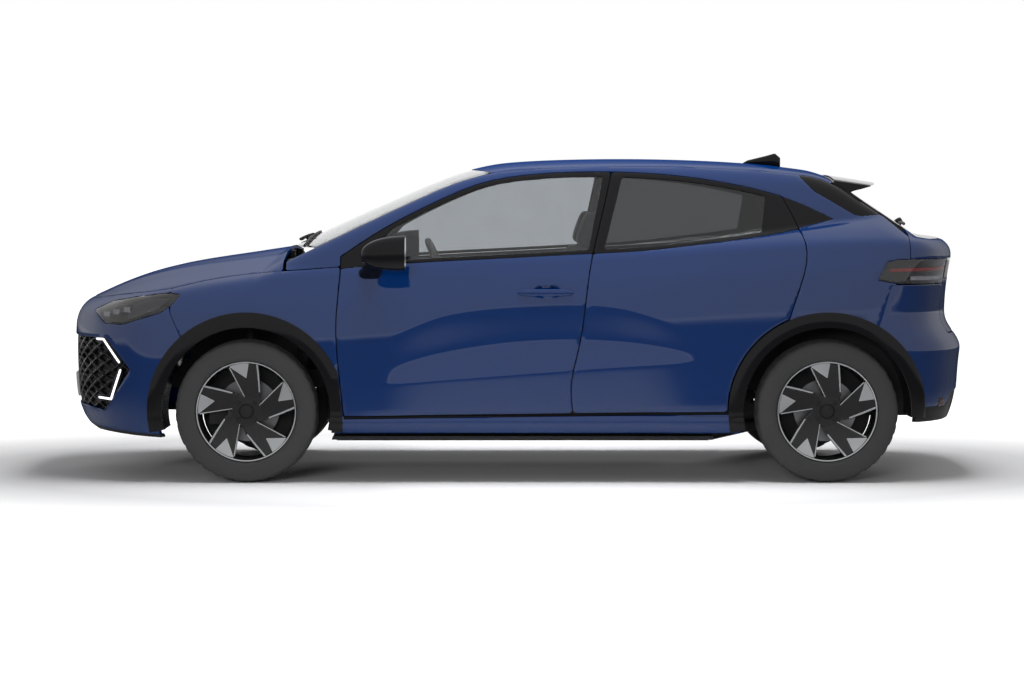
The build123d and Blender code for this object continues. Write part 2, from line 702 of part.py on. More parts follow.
# Nose and tail, seen from upright lines inside the car
TAIL_AXIS, NOSE_AXIS = built_x(1300.0), built_x(-1250.0)
TAIL_ANGLES = np.linspace(-1.30, 1.30, 80)
NOSE_ANGLES = math.pi + np.linspace(-1.33, 1.33, 80)
TAIL_HEIGHTS = built_z(np.linspace(225, 1064, 70))
NOSE_HEIGHTS = built_z(np.linspace(212, 890, 60))


def tail_layer(inset, wall):
    return fan_slab(TAIL_AXIS, TAIL_ANGLES, TAIL_HEIGHTS, inset, wall)


def nose_layer(inset, wall):
    return fan_slab(NOSE_AXIS, NOSE_ANGLES, NOSE_HEIGHTS, inset, wall)


def across(points):
    return prism(points, -WIDTH, WIDTH)


def grown(points, amount):
    """An outline moved outwards all round, in drawn sizes."""
    face = offset(make_face(Polyline(*points, close=True)), amount=amount, kind=Kind.INTERSECTION)
    return [tuple(edge.position_at(0))[:2] for edge in face.faces()[0].outer_wire().order_edges()]


TAIL_CORNER_SPLIT = 1755.0
BUMPER_FLOOR = 268.0


def make_tail():
    shell = tail_layer(0, BUMPER_WALL)
    bumper_room = [*REAR_BUMPER_SPLIT[:-1], (2300, 884), (2300, BUMPER_FLOOR), (1500, BUMPER_FLOOR), (1500, 400)]
    bumper = shell & across([(x + SEAT_GAP, z - SEAT_GAP) for x, z in bumper_room])
    bumper -= wheel_drum(REAR_AXLE, FENDER_CUT, -FAR, FAR)
    gate_room = box(1300, LENGTH, -TAILGATE_HALF - SHUT_GAP / 2, TAILGATE_HALF + SHUT_GAP / 2,
                    built_z(TAILGATE_FOOT) - SHUT_GAP / 2, HEIGHT)
    bumper -= gate_room
    keep("rear_bumper", bumper)
    lamp = tail_layer(0, 45) & prism(grown(TAIL_LAMP, -SEAT_GAP), NEAR, FAR)
    lamp -= gate_room
    keep("tail_lamps", both_sides(lamp))
    start = built_x(TAIL_CORNER_SPLIT) + SEAT_GAP
    corner_room = box(start, LENGTH, NEAR, FAR, built_z(950), built_z(1062))
    corner_piece = (shell & corner_room) - prism(TAIL_LAMP, NEAR, FAR) - gate_room
    keep("rear_corners", both_sides(corner_piece))


def bonnet_net(spare):
    """The bonnet's skin out to its shut lines, moved out sideways by spare."""
    corner_x, rear = built_x(BONNET_FRONT_CORNER), built_x(BONNET_REAR)
    stations = np.linspace(corner_x, rear, 60)
    heights = built_z(bonnet_edge(drawn_x(stations)) + SHUT_GAP / 2)
    edge = side_y(stations, heights) + spare
    nose = built_x(BONNET_NOSE) - spare

    def front(y):
        return nose + (corner_x - nose) * np.minimum(np.abs(y) / edge[0], 1) ** 2.4

    patch_grid = plan_patch(front, lambda y: np.full(np.shape(y), rear), lambda x: np.interp(x, stations, edge))
    return control_net(patch_grid)


BONNET_NOSE = -2010.0
bonnet_space = lid(bonnet_net(SHUT_GAP), -60, 60 + BONNET_WALL + SHUT_GAP)


def make_bonnet():
    keep("bonnet", lid(bonnet_net(0), 0, BONNET_WALL))


def make_nose():
    shell = nose_layer(0, BUMPER_WALL)
    bumper = shell - across([*[(x, float(bonnet_edge(x)) - SHUT_GAP / 2) for x in np.linspace(-2300, -1300, 9)],
                             (-1300, 1300), (-2300, 1300)])
    bumper -= across([*[(x - SEAT_GAP, z) for x, z in BUMPER_SPLIT], (-1200, 560), (-1200, 930)])
    bumper -= across(HEADLAMP)
    bumper -= across(GRILLE)
    bumper -= wheel_drum(FRONT_AXLE, FENDER_CUT, -FAR, FAR)
    bumper -= across([(-2300, 290), (-2060, 285), (-1900, 235), (-1560, 213), (-1300, 213), (-1300, 100),
                      (-2300, 100)])
    keep("front_bumper", bumper - bonnet_space)
    lamp = nose_layer(0, 45) & prism(grown(HEADLAMP, -SEAT_GAP), 380, FAR)
    keep("headlamps", both_sides(lamp - bonnet_space))
    inset, depth, groove = GRILLE_DEPTHS
    grille = nose_layer(inset, depth) & across(grown(GRILLE, -SEAT_GAP))
    slots = [box(-LENGTH, 0, -WIDTH, WIDTH, built_z(z), built_z(z + GRILLE_SLOT)) for z in GRILLE_SLOTS]
    grooves = nose_layer(-inset, 2 * inset + groove) & Compound(children=slots)
    keep("front_grille", grille - grooves)


GRILLE_DEPTHS = (6.0, 28.0, 18.0)
GRILLE_SLOT = 26.0
GRILLE_SLOTS = (352, 400, 448, 496, 544, 592)


def fender_top(x):
    return np.minimum(bonnet_edge(x), BELT(x) + 12) - SHUT_GAP / 2


# Room for the bonnet's rear corners, which swing forwards and down a little as it opens
HINGE_SWEEP, HINGE_SWEEP_FOOT, BONNET_HALF_REAR = (-1260.0, -1030.0), 918.0, 792.5


def make_fenders():
    drawn = np.linspace(-1570, -765, 70)
    z = SKIN_FOOT + (fender_top(drawn) - SKIN_FOOT)[:, None] * np.linspace(0, 1, 60)
    x = built_x(np.broadcast_to(drawn[:, None], z.shape))
    net = control_net(np.stack([x, side_y(x, built_z(z), flank), built_z(z)], -1))
    fender = slab(net, net - (0, DOOR_SKIN + SHUT_GAP - SEAT_GAP, 0))
    room = [*BUMPER_SPLIT, (-1205, 500), (-900, 224), (-774, 224), (-774, 297), (-795, 500), (-806, 720),
            (-790, 946), (-865, 950.5), (-1020, 945.5), (-1020, 960)]
    fender &= prism(room, NEAR, FAR)
    fender -= wheel_drum(FRONT_AXLE, FENDER_CUT, NEAR, FAR)
    fender -= prism(HEADLAMP, NEAR, FAR)
    fender -= bonnet_space
    low, high = HINGE_SWEEP
    fender -= box(built_x(low), built_x(high), NEAR, BONNET_HALF_REAR + SHUT_GAP, built_z(HINGE_SWEEP_FOOT), HEIGHT)
    fender -= through(outline_face(front_door_outline(), SHUT_GAP / 2))
    keep("front_fenders", both_sides(fender))


def arch_trim(axle, lift):
    """A wheel-arch trim: a proud band, held off the skin by lift, with a lip turned into the arch."""
    drawn = np.linspace(-480, 480, 60) + drawn_x(axle)
    z, x = np.meshgrid(np.linspace(built_z(SKIN_FOOT), built_z(800), 50), built_x(drawn))
    net = control_net(np.stack([x, side_y(x, z, flank), z], -1))
    proud = slab(net + (0, ARCH_TRIM_PROUD, 0), net + (0, lift, 0))
    lip = slab(net + (0, ARCH_TRIM_PROUD, 0), net - (0, TRIM_LIP, 0))
    hole = wheel_drum(axle, ARCH_RADIUS, NEAR, FAR)
    band = proud & wheel_drum(axle, ARCH_OUTER, NEAR, FAR)
    band += lip & wheel_drum(axle, FENDER_CUT - SEAT_GAP, NEAR, FAR)
    band -= hole
    floor = box(axle - 600, axle + 600, NEAR, FAR, 0, 222)
    return band - floor


TRIM_LIP = 40.0
FRONT_TRIM_LIFT, REAR_TRIM_LIFT = 3.2, 5.4


def make_arch_trims():
    front = arch_trim(FRONT_AXLE, FRONT_TRIM_LIFT) - through(outline_face(front_door_outline(), SHUT_GAP))
    front -= nose_layer(-SEAT_GAP, BUMPER_WALL) - wheel_drum(FRONT_AXLE, FENDER_CUT - SEAT_GAP, -FAR, FAR)
    rear = arch_trim(REAR_AXLE, REAR_TRIM_LIFT)
    rear -= tail_layer(-SEAT_GAP, BUMPER_WALL) - wheel_drum(REAR_AXLE, FENDER_CUT - SEAT_GAP, -FAR, FAR)
    keep("wheel_arch_trims", [*both_sides(front), *both_sides(rear)])


def ring(axle, outer, inner, y0, y1):
    return wheel_drum(axle, outer, y0, y1) - wheel_drum(axle, inner, y0 - 1, y1 + 1)


# Wheels
RIM_FACE = 838.0
DISC_Y = 722.0
HUB_END = 806.0
SPOKE_DEPTH = 26.0
TYRE_FIT = 0.3


def turned(axle, profile):
    """A solid of revolution about a wheel's axle from (radius, across) points."""
    face = make_face(Polyline(*[(axle, y, WHEEL_Z + r) for r, y in profile], close=True))
    return revolve(face, Axis((axle, 0, WHEEL_Z), (0, 1, 0)), 360)


def make_tyre(axle):
    tread, bead = TYRE_DIAMETER / 2, RIM_DIAMETER / 2 + TYRE_FIT
    half, seat = TYRE_WIDTH / 2, RIM_WIDTH / 2
    wall = tread - bead
    right = [(bead, seat), (bead + 0.55 * wall, half), (tread, half - 24)]
    left = [(r, -y) for r, y in right[::-1]]
    return turned(axle, [(r, WHEEL_Y + y) for r, y in right + left])


def spoke(axle, angle):
    """One slanting blade from the hub to the rim."""
    reach = RIM_DIAMETER / 2 - RIM_WALL / 2
    outline = [(-30, 40), (30, 40), (36, 120), (74, reach - 12), (20, reach), (-34, reach - 6), (-14, 120)]
    blade = Polyline(*[(axle + x, 0, WHEEL_Z + z) for x, z in outline], close=True)
    solid = extrude(make_face(blade), amount=SPOKE_DEPTH, dir=(0, -1, 0)).moved(Location((0, RIM_FACE - 6, 0)))
    return solid.rotate(Axis((axle, 0, WHEEL_Z), (0, 1, 0)), angle)


def make_rim(axle):
    outer = RIM_DIAMETER / 2
    inner = outer - RIM_WALL
    near, far = WHEEL_Y - RIM_WIDTH / 2, WHEEL_Y + RIM_WIDTH / 2
    rim = turned(axle, [(inner, near), (outer, near), (outer, far), (inner, far)])
    for i in range(SPOKES):
        rim += spoke(axle, 360 / SPOKES * i)
    rim += wheel_drum(axle, HUB_RADIUS, DISC_Y, RIM_FACE - 12)
    rim += wheel_drum(axle, DISC_RADIUS, DISC_Y, DISC_Y + DISC_THICKNESS)
    rim -= wheel_drum(axle, SPINDLE_RADIUS + RUNNING_CLEARANCE, DISC_Y - 1, HUB_END)
    for i in range(BOLT_COUNT):
        angle = 2 * math.pi * (i + 0.5) / BOLT_COUNT
        x, z = axle + BOLT_CIRCLE / 2 * math.cos(angle), WHEEL_Z + BOLT_CIRCLE / 2 * math.sin(angle)
        rim -= rod((x, HUB_END - 50, z), (x, RIM_FACE + 1, z), BOLT_HOLE_RADIUS)
    return rim


def make_wheels():
    for end, axle in (("front", FRONT_AXLE), ("rear", REAR_AXLE)):
        keep_pair(end + "_tyre", make_tyre(axle))
        keep_pair(end + "_rim", make_rim(axle))


# Steered uprights and their carriers
KNUCKLE_FACE = DISC_Y - 6.0
STRUT_TOP = 845.0
STRUT_FOOT = 430.0
BALL_RADIUS = 20.0
ARM_HALF = 34.0
RAIL = (390.0, 430.0, 400.0, 480.0)
ENGINE = (-1500.0, -1010.0, 300.0, 790.0)


def kingpin_at(z):
    """Point on the line that a front wheel turns about."""
    (y0, z0), (y1, z1) = KINGPIN_LOW, KINGPIN_HIGH
    return (FRONT_AXLE, y0 + (y1 - y0) * (z - z0) / (z1 - z0), z)


def make_knuckles():
    upright = box(FRONT_AXLE - 45, FRONT_AXLE + 45, KNUCKLE_FACE - 86, KNUCKLE_FACE, 232, 455)
    upright += wheel_drum(FRONT_AXLE, SPINDLE_RADIUS, KNUCKLE_FACE - 20, HUB_END - 2)
    upright += rod(kingpin_at(STRUT_FOOT), kingpin_at(STRUT_TOP), STRUT_RADIUS)
    upright += rod(kingpin_at(178), kingpin_at(232), BALL_RADIUS)
    caliper = box(FRONT_AXLE - 172, FRONT_AXLE - 92, KNUCKLE_FACE - 22, DISC_Y + DISC_THICKNESS + 24,
                  WHEEL_Z - 62, WHEEL_Z + 62)
    caliper -= ring(FRONT_AXLE, DISC_RADIUS + 5, 1, DISC_Y - 5, DISC_Y + DISC_THICKNESS + 5)
    caliper -= wheel_drum(FRONT_AXLE, HUB_RADIUS + 12, 600, 900)
    upright += caliper
    upright += box(FRONT_AXLE - 110, FRONT_AXLE, KNUCKLE_FACE - 22, KNUCKLE_FACE - 8, WHEEL_Z - 30, WHEEL_Z + 30)
    keep_pair("knuckle", upright)


def make_front_subframe():
    frame = box(FRONT_AXLE - 60, FRONT_AXLE + 190, -RAIL[0] + 40, RAIL[0] - 40, 178, 232)
    right = box(FRONT_AXLE - ARM_HALF, FRONT_AXLE + ARM_HALF, 300, KINGPIN_LOW[0] - 2, 182, 212)
    right -= rod(kingpin_at(150), kingpin_at(260), BALL_RADIUS + SEAT_GAP)
    right += box(FRONT_AXLE + 60, FRONT_AXLE + 160, RAIL[0] - 60, RAIL[1], 190, 226)
    right += box(FRONT_AXLE + 60, FRONT_AXLE + 160, RAIL[0] + 4, RAIL[1], 200, RAIL[2] - SEAT_GAP)
    for side in both_sides(right):
        frame += side
    keep("front_subframe", frame)


def make_rear_axle():
    beam = rod((REAR_AXLE - 180, -540, 335), (REAR_AXLE - 180, 540, 335), 42)
    right = box(REAR_AXLE - 420, REAR_AXLE + 60, 520, 575, 280, 340)
    right += wheel_drum(REAR_AXLE, SPINDLE_RADIUS, 530, HUB_END - 2)
    right += box(REAR_AXLE - 80, REAR_AXLE + 60, 575, 640, 270, 366)
    right += rod((REAR_AXLE + 30, 548, 330), (REAR_AXLE + 30, 548, REAR_DECK - SEAT_GAP), 30)
    for side in both_sides(right):
        beam += side
    keep("rear_axle", beam)


# Floor, bulkhead and what stands on them
REAR_DECK = 400.0
TOWER_SIDE = 650.0
HOUSING_SIDE = 600.0
BULKHEAD = -850.0
BULKHEAD_HALF = 700.0
BULKHEAD_TOP = 915.0

# Room that a tyre takes at full lock
LOCK_REACH, LOCK_SIDE = FENDER_CUT, 440.0


def make_floor():
    top_of_floor = FLOOR_HEIGHT + FLOOR_THICKNESS
    sill = float(side_y(0.0, 260.0, flank)) - SIDE_WALL / 2
    x0, x1, x2 = built_x(BULKHEAD), built_x(880.0), built_x(1925.0)
    floor = box(x0, x1, -sill, sill, FLOOR_HEIGHT, top_of_floor)
    floor += box(x0, x0 + 20, -BULKHEAD_HALF, BULKHEAD_HALF, FLOOR_HEIGHT, BULKHEAD_TOP)
    floor += box(x1 - 20, x1, -sill, sill, FLOOR_HEIGHT, REAR_DECK + 30)
    floor += box(x1 - 20, x2, -HOUSING_SIDE, HOUSING_SIDE, REAR_DECK, REAR_DECK + 30)
    floor += box(x2 - 20, x2, -590, 590, REAR_DECK, built_z(TAILGATE_FOOT) - 30)
    right = box(REAR_AXLE - 400, REAR_AXLE + 400, HOUSING_SIDE - 12, HOUSING_SIDE, REAR_DECK, 740)
    right += box(built_x(-1940.0), x0 + 10, RAIL[0], RAIL[1], RAIL[2], RAIL[3])
    tower = box(FRONT_AXLE - 75, x0 + 10, 500, TOWER_SIDE, 800, 830)
    tower += box(FRONT_AXLE - 75, x0 + 10, TOWER_SIDE - 10, TOWER_SIDE, 705, 830)
    tower -= rod(kingpin_at(700), kingpin_at(900), STRUT_RADIUS + SEAT_GAP)
    right += tower
    for side in both_sides(right):
        floor += side
    floor += box(built_x(-1960.0), built_x(-1930.0), -RAIL[1], RAIL[1], RAIL[2], RAIL[3])
    for room in both_sides(wheel_drum(FRONT_AXLE, LOCK_REACH, LOCK_SIDE, FAR)):
        floor -= room
    for skin_layer in both_sides(slab(flank_net + (0, NEAR, 0), flank_net - (0, SIDE_WALL + SEAT_GAP, 0))):
        floor -= skin_layer
    keep("floor_pan", floor)


def make_engine():
    x0, x1, z0, z1 = ENGINE
    half = RAIL[0] - SEAT_GAP
    keep("engine_block", box(built_x(x0), built_x(x1), -half, half, z0, z1))


def make_exhaust():
    radius = 28.0
    z = FLOOR_HEIGHT - SEAT_GAP - radius
    pipe = rod((built_x(-840.0), -180, z), (built_x(900.0), -180, z), radius)
    pipe += rod((built_x(900.0), -180, z), (built_x(1500.0), -180, 300), radius)
    pipe += box(built_x(1490.0), built_x(1860.0), -420, 60, 270, REAR_DECK - SEAT_GAP)
    keep("exhaust", pipe)


COLUMN = ((-330.0, -360.0, 905.0), 25.0)


def column_plane():
    (x, y, z), rake = COLUMN
    aim = (math.cos(math.radians(rake)), 0, math.sin(math.radians(rake)))
    return Plane(origin=(built_x(x), y, built_z(z)), x_dir=(0, 1, 0), z_dir=aim)


def make_dashboard():
    face = drawn_x(built_x(BULKHEAD) + 20 + SEAT_GAP)
    outline = [(face, 560), (face, 905), (-800, 925), (-640, 925), (-520, 905), (-480, 840), (-520, 700), (-600, 560)]
    half = 640.0
    dash = prism(outline, -half, half)
    start = column_plane()
    column = extrude(start.offset(-SEAT_GAP - 30) * Circle(26), amount=-260)
    keep("dashboard", dash + column)


def make_steering_wheel():
    place = column_plane()
    wheel = Torus(182, 15)
    wheel += Pos(0, 0, -15) * Cylinder(48, 30)
    for angle in (0, 180, 270):
        wheel += Rot(0, 0, angle) * (Pos(105, 0, -6) * Box(160, 34, 12))
    keep("steering_wheel", place.location * wheel)


def seat(x, width, y, cushion, back):
    """A seat from the side: cushion length and backrest height."""
    floor = FLOOR_HEIGHT + FLOOR_THICKNESS + SEAT_GAP
    low = floor + 110
    outline = [(0, floor), (cushion, floor), (cushion + 40, low), (cushion + 100, low + 120),
               (cushion + 100 + 0.36 * back, low + 120 + back), (cushion + 0.36 * back, low + 130 + back),
               (cushion - 40, low + 150), (-20, low + 170), (-30, low + 100)]
    wire = Polyline(*[(built_x(x) + a, 0, b) for a, b in outline], close=True)
    return extrude(make_face(wire), amount=width, dir=(0, 1, 0)).moved(Location((0, y - width / 2, 0)))


def headrest(x, z, y, width):
    return box(x, x + 70, y - width / 2, y + width / 2, z, z + 190)


def make_seats():
    for side, y in (("left", -360.0), ("right", 360.0)):
        front = seat(-380.0, 500.0, y, 470.0, 560.0)
        front += headrest(built_x(-380.0) + 470 + 0.36 * 560 + 12, 1020, y, 260)
        keep("front_seat_" + side, front)
    bench = seat(620.0, 1160.0, 0.0, 400.0, 520.0) & box(0, built_x(1500.0), -700, 700, 0, 2000)
    bench -= box(built_x(860.0) - SEAT_GAP - 1, built_x(1500.0), -800, 800, 0, REAR_DECK + 30 + SEAT_GAP)
    for y in (-380.0, 380.0):
        bench += headrest(built_x(620.0) + 400 + 0.36 * 520 + 12, 980, y, 240)
    keep("rear_bench", bench)


SCUTTLE_FRONT, SCUTTLE_HALF = -1038.0, 612.0


def make_small_pieces():
    foot = BULKHEAD_TOP + SEAT_GAP
    scuttle = box(built_x(SCUTTLE_FRONT), built_x(BULKHEAD) + 30, -SCUTTLE_HALF, SCUTTLE_HALF, foot, 990)
    stop = box(built_x(BONNET_REAR) + SEAT_GAP, built_x(SCUTTLE_FRONT) + 12, 180, 300, 950, 1026)
    for side in both_sides(stop):
        scuttle += side
    keep("scuttle", scuttle)
    fin_x = (1068.0, 1253.0)
    fin = prism([(fin_x[0], 1400), (fin_x[0] + 20, 1440), (1180, 1473), (1236, 1478), (fin_x[1], 1400)], -20, 20)
    keep("roof_fin", fin - lid(roof_net, -SEAT_GAP, 200))
    right = box(built_x(-690.0), built_x(-500.0), 905, 1030, built_z(955), built_z(1095))
    right = fillet(right.edges(), 30)
    right += box(built_x(-690.0), built_x(-600.0), 800, 930, built_z(890), built_z(985))
    for net in (flank_net, cabin_net):
        right -= slab(net + (0, SEAT_GAP, 0), net - (0, 2 * SIDE_WALL, 0))
    keep_pair("mirror", right.solids().sort_by(SortBy.VOLUME)[-1])


# Hinge leaves in the shut gaps: (door edge, low end, high end) of each, drawn sizes
DOOR_LEAVES = [(-803.0, 690.0, 750.0), (-791.0, 440.0, 500.0), (243.0, 400.0, 450.0), (283.0, 615.0, 665.0)]
LEAF_REACH = (6.0, 16.0)
GATE_LEAF = (300.0, 380.0, 1332.0, 1350.0)


def make_hinge_leaves():
    gap = slab(flank_net - (0, DOOR_SKIN + SEAT_GAP, 0), flank_net - (0, DOOR_SKIN + SHUT_GAP - SEAT_GAP, 0))
    leaves = []
    for edge, low, high in DOOR_LEAVES:
        room = box(built_x(edge) + LEAF_REACH[0], built_x(edge) + LEAF_REACH[1], NEAR, FAR, low, high)
        leaves.extend(both_sides(gap & room))
    y0, y1, z0, z1 = GATE_LEAF
    shut = built_x(TAILGATE_TOP)
    leaves.extend(both_sides(box(shut - SHUT_GAP + SEAT_GAP, shut - SEAT_GAP, y0, y1, z0, z1)))
    keep("hinge_leaves", [piece for leaf in leaves for piece in leaf.solids()])


LINER_FOOT = 330.0
LINER_END = 770.0
LINER_WALL = 12.0


def make_liners():
    outer = FENDER_CUT - SEAT_GAP
    ground = box(-LENGTH, LENGTH, 0, WIDTH, -WHEEL_Z, LINER_FOOT)
    front = ring(FRONT_AXLE, outer, outer - LINER_WALL, TOWER_SIDE + SEAT_GAP, LINER_END) - ground
    rear = ring(REAR_AXLE, outer, outer - LINER_WALL, HOUSING_SIDE + SEAT_GAP, LINER_END) - ground
    keep("wheel_liners", [*both_sides(front), *both_sides(rear)])


def make_all():
    make_doors()
    make_top_panels()
    make_tailgate()
    make_body_sides()
    make_tail()
    make_nose()
    make_fenders()
    make_bonnet()
    make_arch_trims()
    make_wheels()
    make_knuckles()
    make_front_subframe()
    make_rear_axle()
    make_floor()
    make_engine()
    make_exhaust()
    make_dashboard()
    make_steering_wheel()
    make_seats()
    make_small_pieces()
    make_hinge_leaves()
    make_liners()


make_all()
os.makedirs("parts", exist_ok=True)
for node, piece in parts.items():
    export_step(piece, f"parts/{node}.step")
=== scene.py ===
# %% [markdown]
# # A five-door hatchback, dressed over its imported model
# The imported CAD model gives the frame: where each panel, wheel and seat is, and what moves. This script puts
# the finished surfaces over it. The body skin is one formula, negative inside the car and positive outside.
# Every panel is a patch of that one skin cut along its own shut lines, so neighbouring panels line up.

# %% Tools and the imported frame
import json
import math

import bpy
import numpy as np
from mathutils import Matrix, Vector

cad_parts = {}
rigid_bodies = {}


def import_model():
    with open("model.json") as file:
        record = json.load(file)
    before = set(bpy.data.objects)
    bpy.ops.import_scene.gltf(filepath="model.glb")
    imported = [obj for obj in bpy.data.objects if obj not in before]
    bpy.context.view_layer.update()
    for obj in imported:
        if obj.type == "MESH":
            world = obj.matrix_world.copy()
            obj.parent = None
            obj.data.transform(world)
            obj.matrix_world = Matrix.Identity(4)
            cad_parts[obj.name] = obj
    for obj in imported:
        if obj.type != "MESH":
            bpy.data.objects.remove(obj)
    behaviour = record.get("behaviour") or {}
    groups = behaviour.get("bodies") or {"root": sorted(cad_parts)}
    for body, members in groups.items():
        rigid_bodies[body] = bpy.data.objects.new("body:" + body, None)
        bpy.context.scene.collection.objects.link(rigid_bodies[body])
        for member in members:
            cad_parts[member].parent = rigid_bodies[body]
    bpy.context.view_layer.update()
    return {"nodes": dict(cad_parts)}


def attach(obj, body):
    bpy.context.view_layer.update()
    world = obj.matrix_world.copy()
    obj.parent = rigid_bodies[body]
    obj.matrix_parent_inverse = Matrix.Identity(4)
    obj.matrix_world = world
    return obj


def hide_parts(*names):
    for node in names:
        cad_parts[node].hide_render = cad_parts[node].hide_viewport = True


for leftover in list(bpy.data.objects):
    bpy.data.objects.remove(leftover)
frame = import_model()
cad_nodes = frame["nodes"]
MM = 0.001

# %% [markdown]
# ## The body's lines
# A car body is drawn as lines first: the shoulder, the plan of the sides, the roof, the nose and the tail.
# Each line is a smooth cubic curve through a few points in millimetres, with +X towards the tail and +Z up.

# %% Smooth curves and blends
def smooth(points):
    """A natural cubic curve through (place, value) points, straight past its ends."""
    t, v = (np.array(c, float) for c in zip(*points))
    h = np.diff(t)
    n = len(t)
    a, b = np.eye(n), np.zeros(n)
    for i in range(1, n - 1):
        a[i, i - 1 : i + 2] = h[i - 1], 2 * (h[i - 1] + h[i]), h[i]
        b[i] = 6 * ((v[i + 1] - v[i]) / h[i] - (v[i] - v[i - 1]) / h[i - 1])
    m = np.linalg.solve(a, b)
    first = (v[1] - v[0]) / h[0] - h[0] * m[1] / 6
    last = (v[-1] - v[-2]) / h[-1] + h[-1] * m[-2] / 6

    def curve(x):
        x = np.asarray(x, float)
        i = np.clip(np.searchsorted(t, x) - 1, 0, n - 2)
        p, q = t[i + 1] - x, x - t[i]
        inside = (m[i] * p**3 + m[i + 1] * q**3) / (6 * h[i])
        inside += (v[i] / h[i] - m[i] * h[i] / 6) * p + (v[i + 1] / h[i] - m[i + 1] * h[i] / 6) * q
        inside = np.where(x < t[0], v[0] + first * (x - t[0]), inside)
        return np.where(x > t[-1], v[-1] + last * (x - t[-1]), inside)

    return curve


def smooth_max(a, b, radius):
    """The larger of two fields, with the corner between them rounded over about the radius."""
    blend = np.maximum(radius - np.abs(a - b), 0.0) / radius
    return np.maximum(a, b) + blend * blend * radius / 4


def smooth_min(a, b, radius):
    return -smooth_max(-a, -b, radius)


def ramp(values, low, high):
    """0 below low, 1 above high, an S-shaped rise between."""
    t = np.clip((values - low) / (high - low), 0, 1)
    return t * t * (3 - 2 * t)


# %% Lines seen from the side and from above
shoulder_line = smooth([(-2058, 700), (-1800, 800), (-1578, 852), (-1399, 895), (-1099, 938), (-865, 951),
                        (-487, 980), (2, 1005), (549, 1032), (994, 1062), (1430, 1080), (1700, 1084),
                        (1950, 1080)])
plan_line = smooth([(-2058, 860), (-1205, 872), (-600, 868), (0, 871), (600, 874), (1386, 875), (2058, 858)])
shoulder_turn = smooth([(-120, 300), (-60, 170), (-20, 100), (0, 72), (50, 44), (120, 21), (200, 7), (280, 1),
                        (360, 0), (450, 0), (900, 0)])
scoop_shape = smooth([(-0.1, -0.3), (0, 0), (0.1, 0.34), (0.25, 0.76), (0.42, 1.0), (0.6, 0.82), (0.8, 0.36),
                      (1, 0), (1.2, 0), (3, 0)])
sill_line = smooth([(190, 60), (215, 38), (240, 16), (262, 9), (285, 9), (300, 14), (320, 14)])
glass_plan = smooth([(-1300, 735), (-1040, 765), (-865, 785), (-487, 806), (2, 812), (549, 806), (994, 778),
                     (1217, 752), (1430, 716), (1700, 664), (2000, 600)])
bonnet_line = smooth([(-2058, 700), (-2025, 771), (-1969, 818), (-1874, 861), (-1732, 916), (-1590, 955),
                      (-1401, 990), (-1212, 1018), (-1094, 1036), (-1000, 1049), (-800, 1072)])
roof_line = smooth([(-400, 1388), (-171, 1420), (18, 1438), (207, 1447), (444, 1451), (680, 1449),
                    (964, 1438), (1153, 1424), (1342, 1401), (1532, 1370), (1664, 1341), (1800, 1308)])
deck_line = smooth([(1750, 1120), (1872, 1099), (1957, 1089), (2010, 1078)])
nose_line = smooth([(190, -1985), (251, -2010), (312, -2035), (383, -2050), (478, -2056), (587, -2058),
                    (653, -2056), (728, -2049), (790, -2020), (840, -1960)])
tail_line = smooth([(215, 1965), (251, 1995), (312, 2023), (383, 2040), (478, 2048), (560, 2056), (600, 2057),
                    (653, 2030), (710, 1995), (785, 1987), (856, 1992), (965, 2008), (1041, 2008),
                    (1080, 1985)])
CREASE_HEIGHT, CREASE_RISE, SILL_TOP, SCOOP_DEPTH, UNDERCUT = 482.0, 0.075, 300.0, 15.0, 0.15
SILL_STEP = 9.0
DOOR_ZONE_FRONT, DOOR_ZONE_REAR, DOOR_ZONE_FADE = -640.0, 830.0, 330.0
BELLY_TOP, BELLY_DROP, BELLY_MIDDLE, BELLY_REACH = 842.0, 215.0, 115.0, 700.0
BELT_HEIGHT, BELT_FOOT, GLASS_LEAN, GLASS_CURVE = 1000.0, -80.0, 0.30, 0.00027
SCREEN_FOOT, SCREEN_SLOPE, SCREEN_CURVE = (-1040.0, 1050.0), 0.475, 0.000045
REAR_GLASS_TOP, REAR_GLASS_SLOPE = (1612.0, 1268.0), 0.656
BONNET_CROWN, ROOF_CROWN, DECK_CROWN = (92.0, 740.0), (30.0, 590.0), (20.0, 700.0)
SCREEN_BOW, REAR_GLASS_BOW = (100.0, 660.0), (60.0, 560.0)
BONNET_END, DECK_START, CABIN_RADIUS, BELT_RADIUS = -700.0, 1500.0, 50.0, 22.0
NOSE_CORNER, TAIL_CORNER = (892.0, 700.0, 2.6), (888.0, 560.0, 3.0)
EDGE_RADIUS, END_RADIUS = 60.0, 40.0
HALVINGS = 34


# %% The skin, as one field
def crease_line(x):
    return CREASE_HEIGHT + CREASE_RISE * x


def door_zone(x):
    """One between the wheels, fading to nothing at the arches."""
    share = np.minimum(np.clip((x - DOOR_ZONE_FRONT) / DOOR_ZONE_FADE, 0, 1),
                       np.clip((DOOR_ZONE_REAR - x) / DOOR_ZONE_FADE, 0, 1))
    return share * share * (3 - 2 * share)


def belly_line(x):
    """Height of the doors' widest line, an arch between the wheels; below it they lean in."""
    return BELLY_TOP - BELLY_DROP * np.minimum(np.abs(x - BELLY_MIDDLE) / BELLY_REACH, 1) ** 2


def flank(x, z):
    """Half width below the windows: plan line, less the shoulder's turn, the doors' scoop and the sill."""
    above = z - crease_line(x)
    share = np.clip(above / (belly_line(x) - crease_line(x)), 0, 1)
    lower = np.where(above > 0, SCOOP_DEPTH * scoop_shape(share), UNDERCUT * np.maximum(-above, 0))
    lower = np.where(z < SILL_TOP, sill_line(z), lower)
    plain = np.where(z < SILL_TOP, sill_line(z) - SILL_STEP, 0)
    zone = door_zone(x)
    return plan_line(x) - shoulder_turn(shoulder_line(x) - z) - zone * lower - (1 - zone) * plain


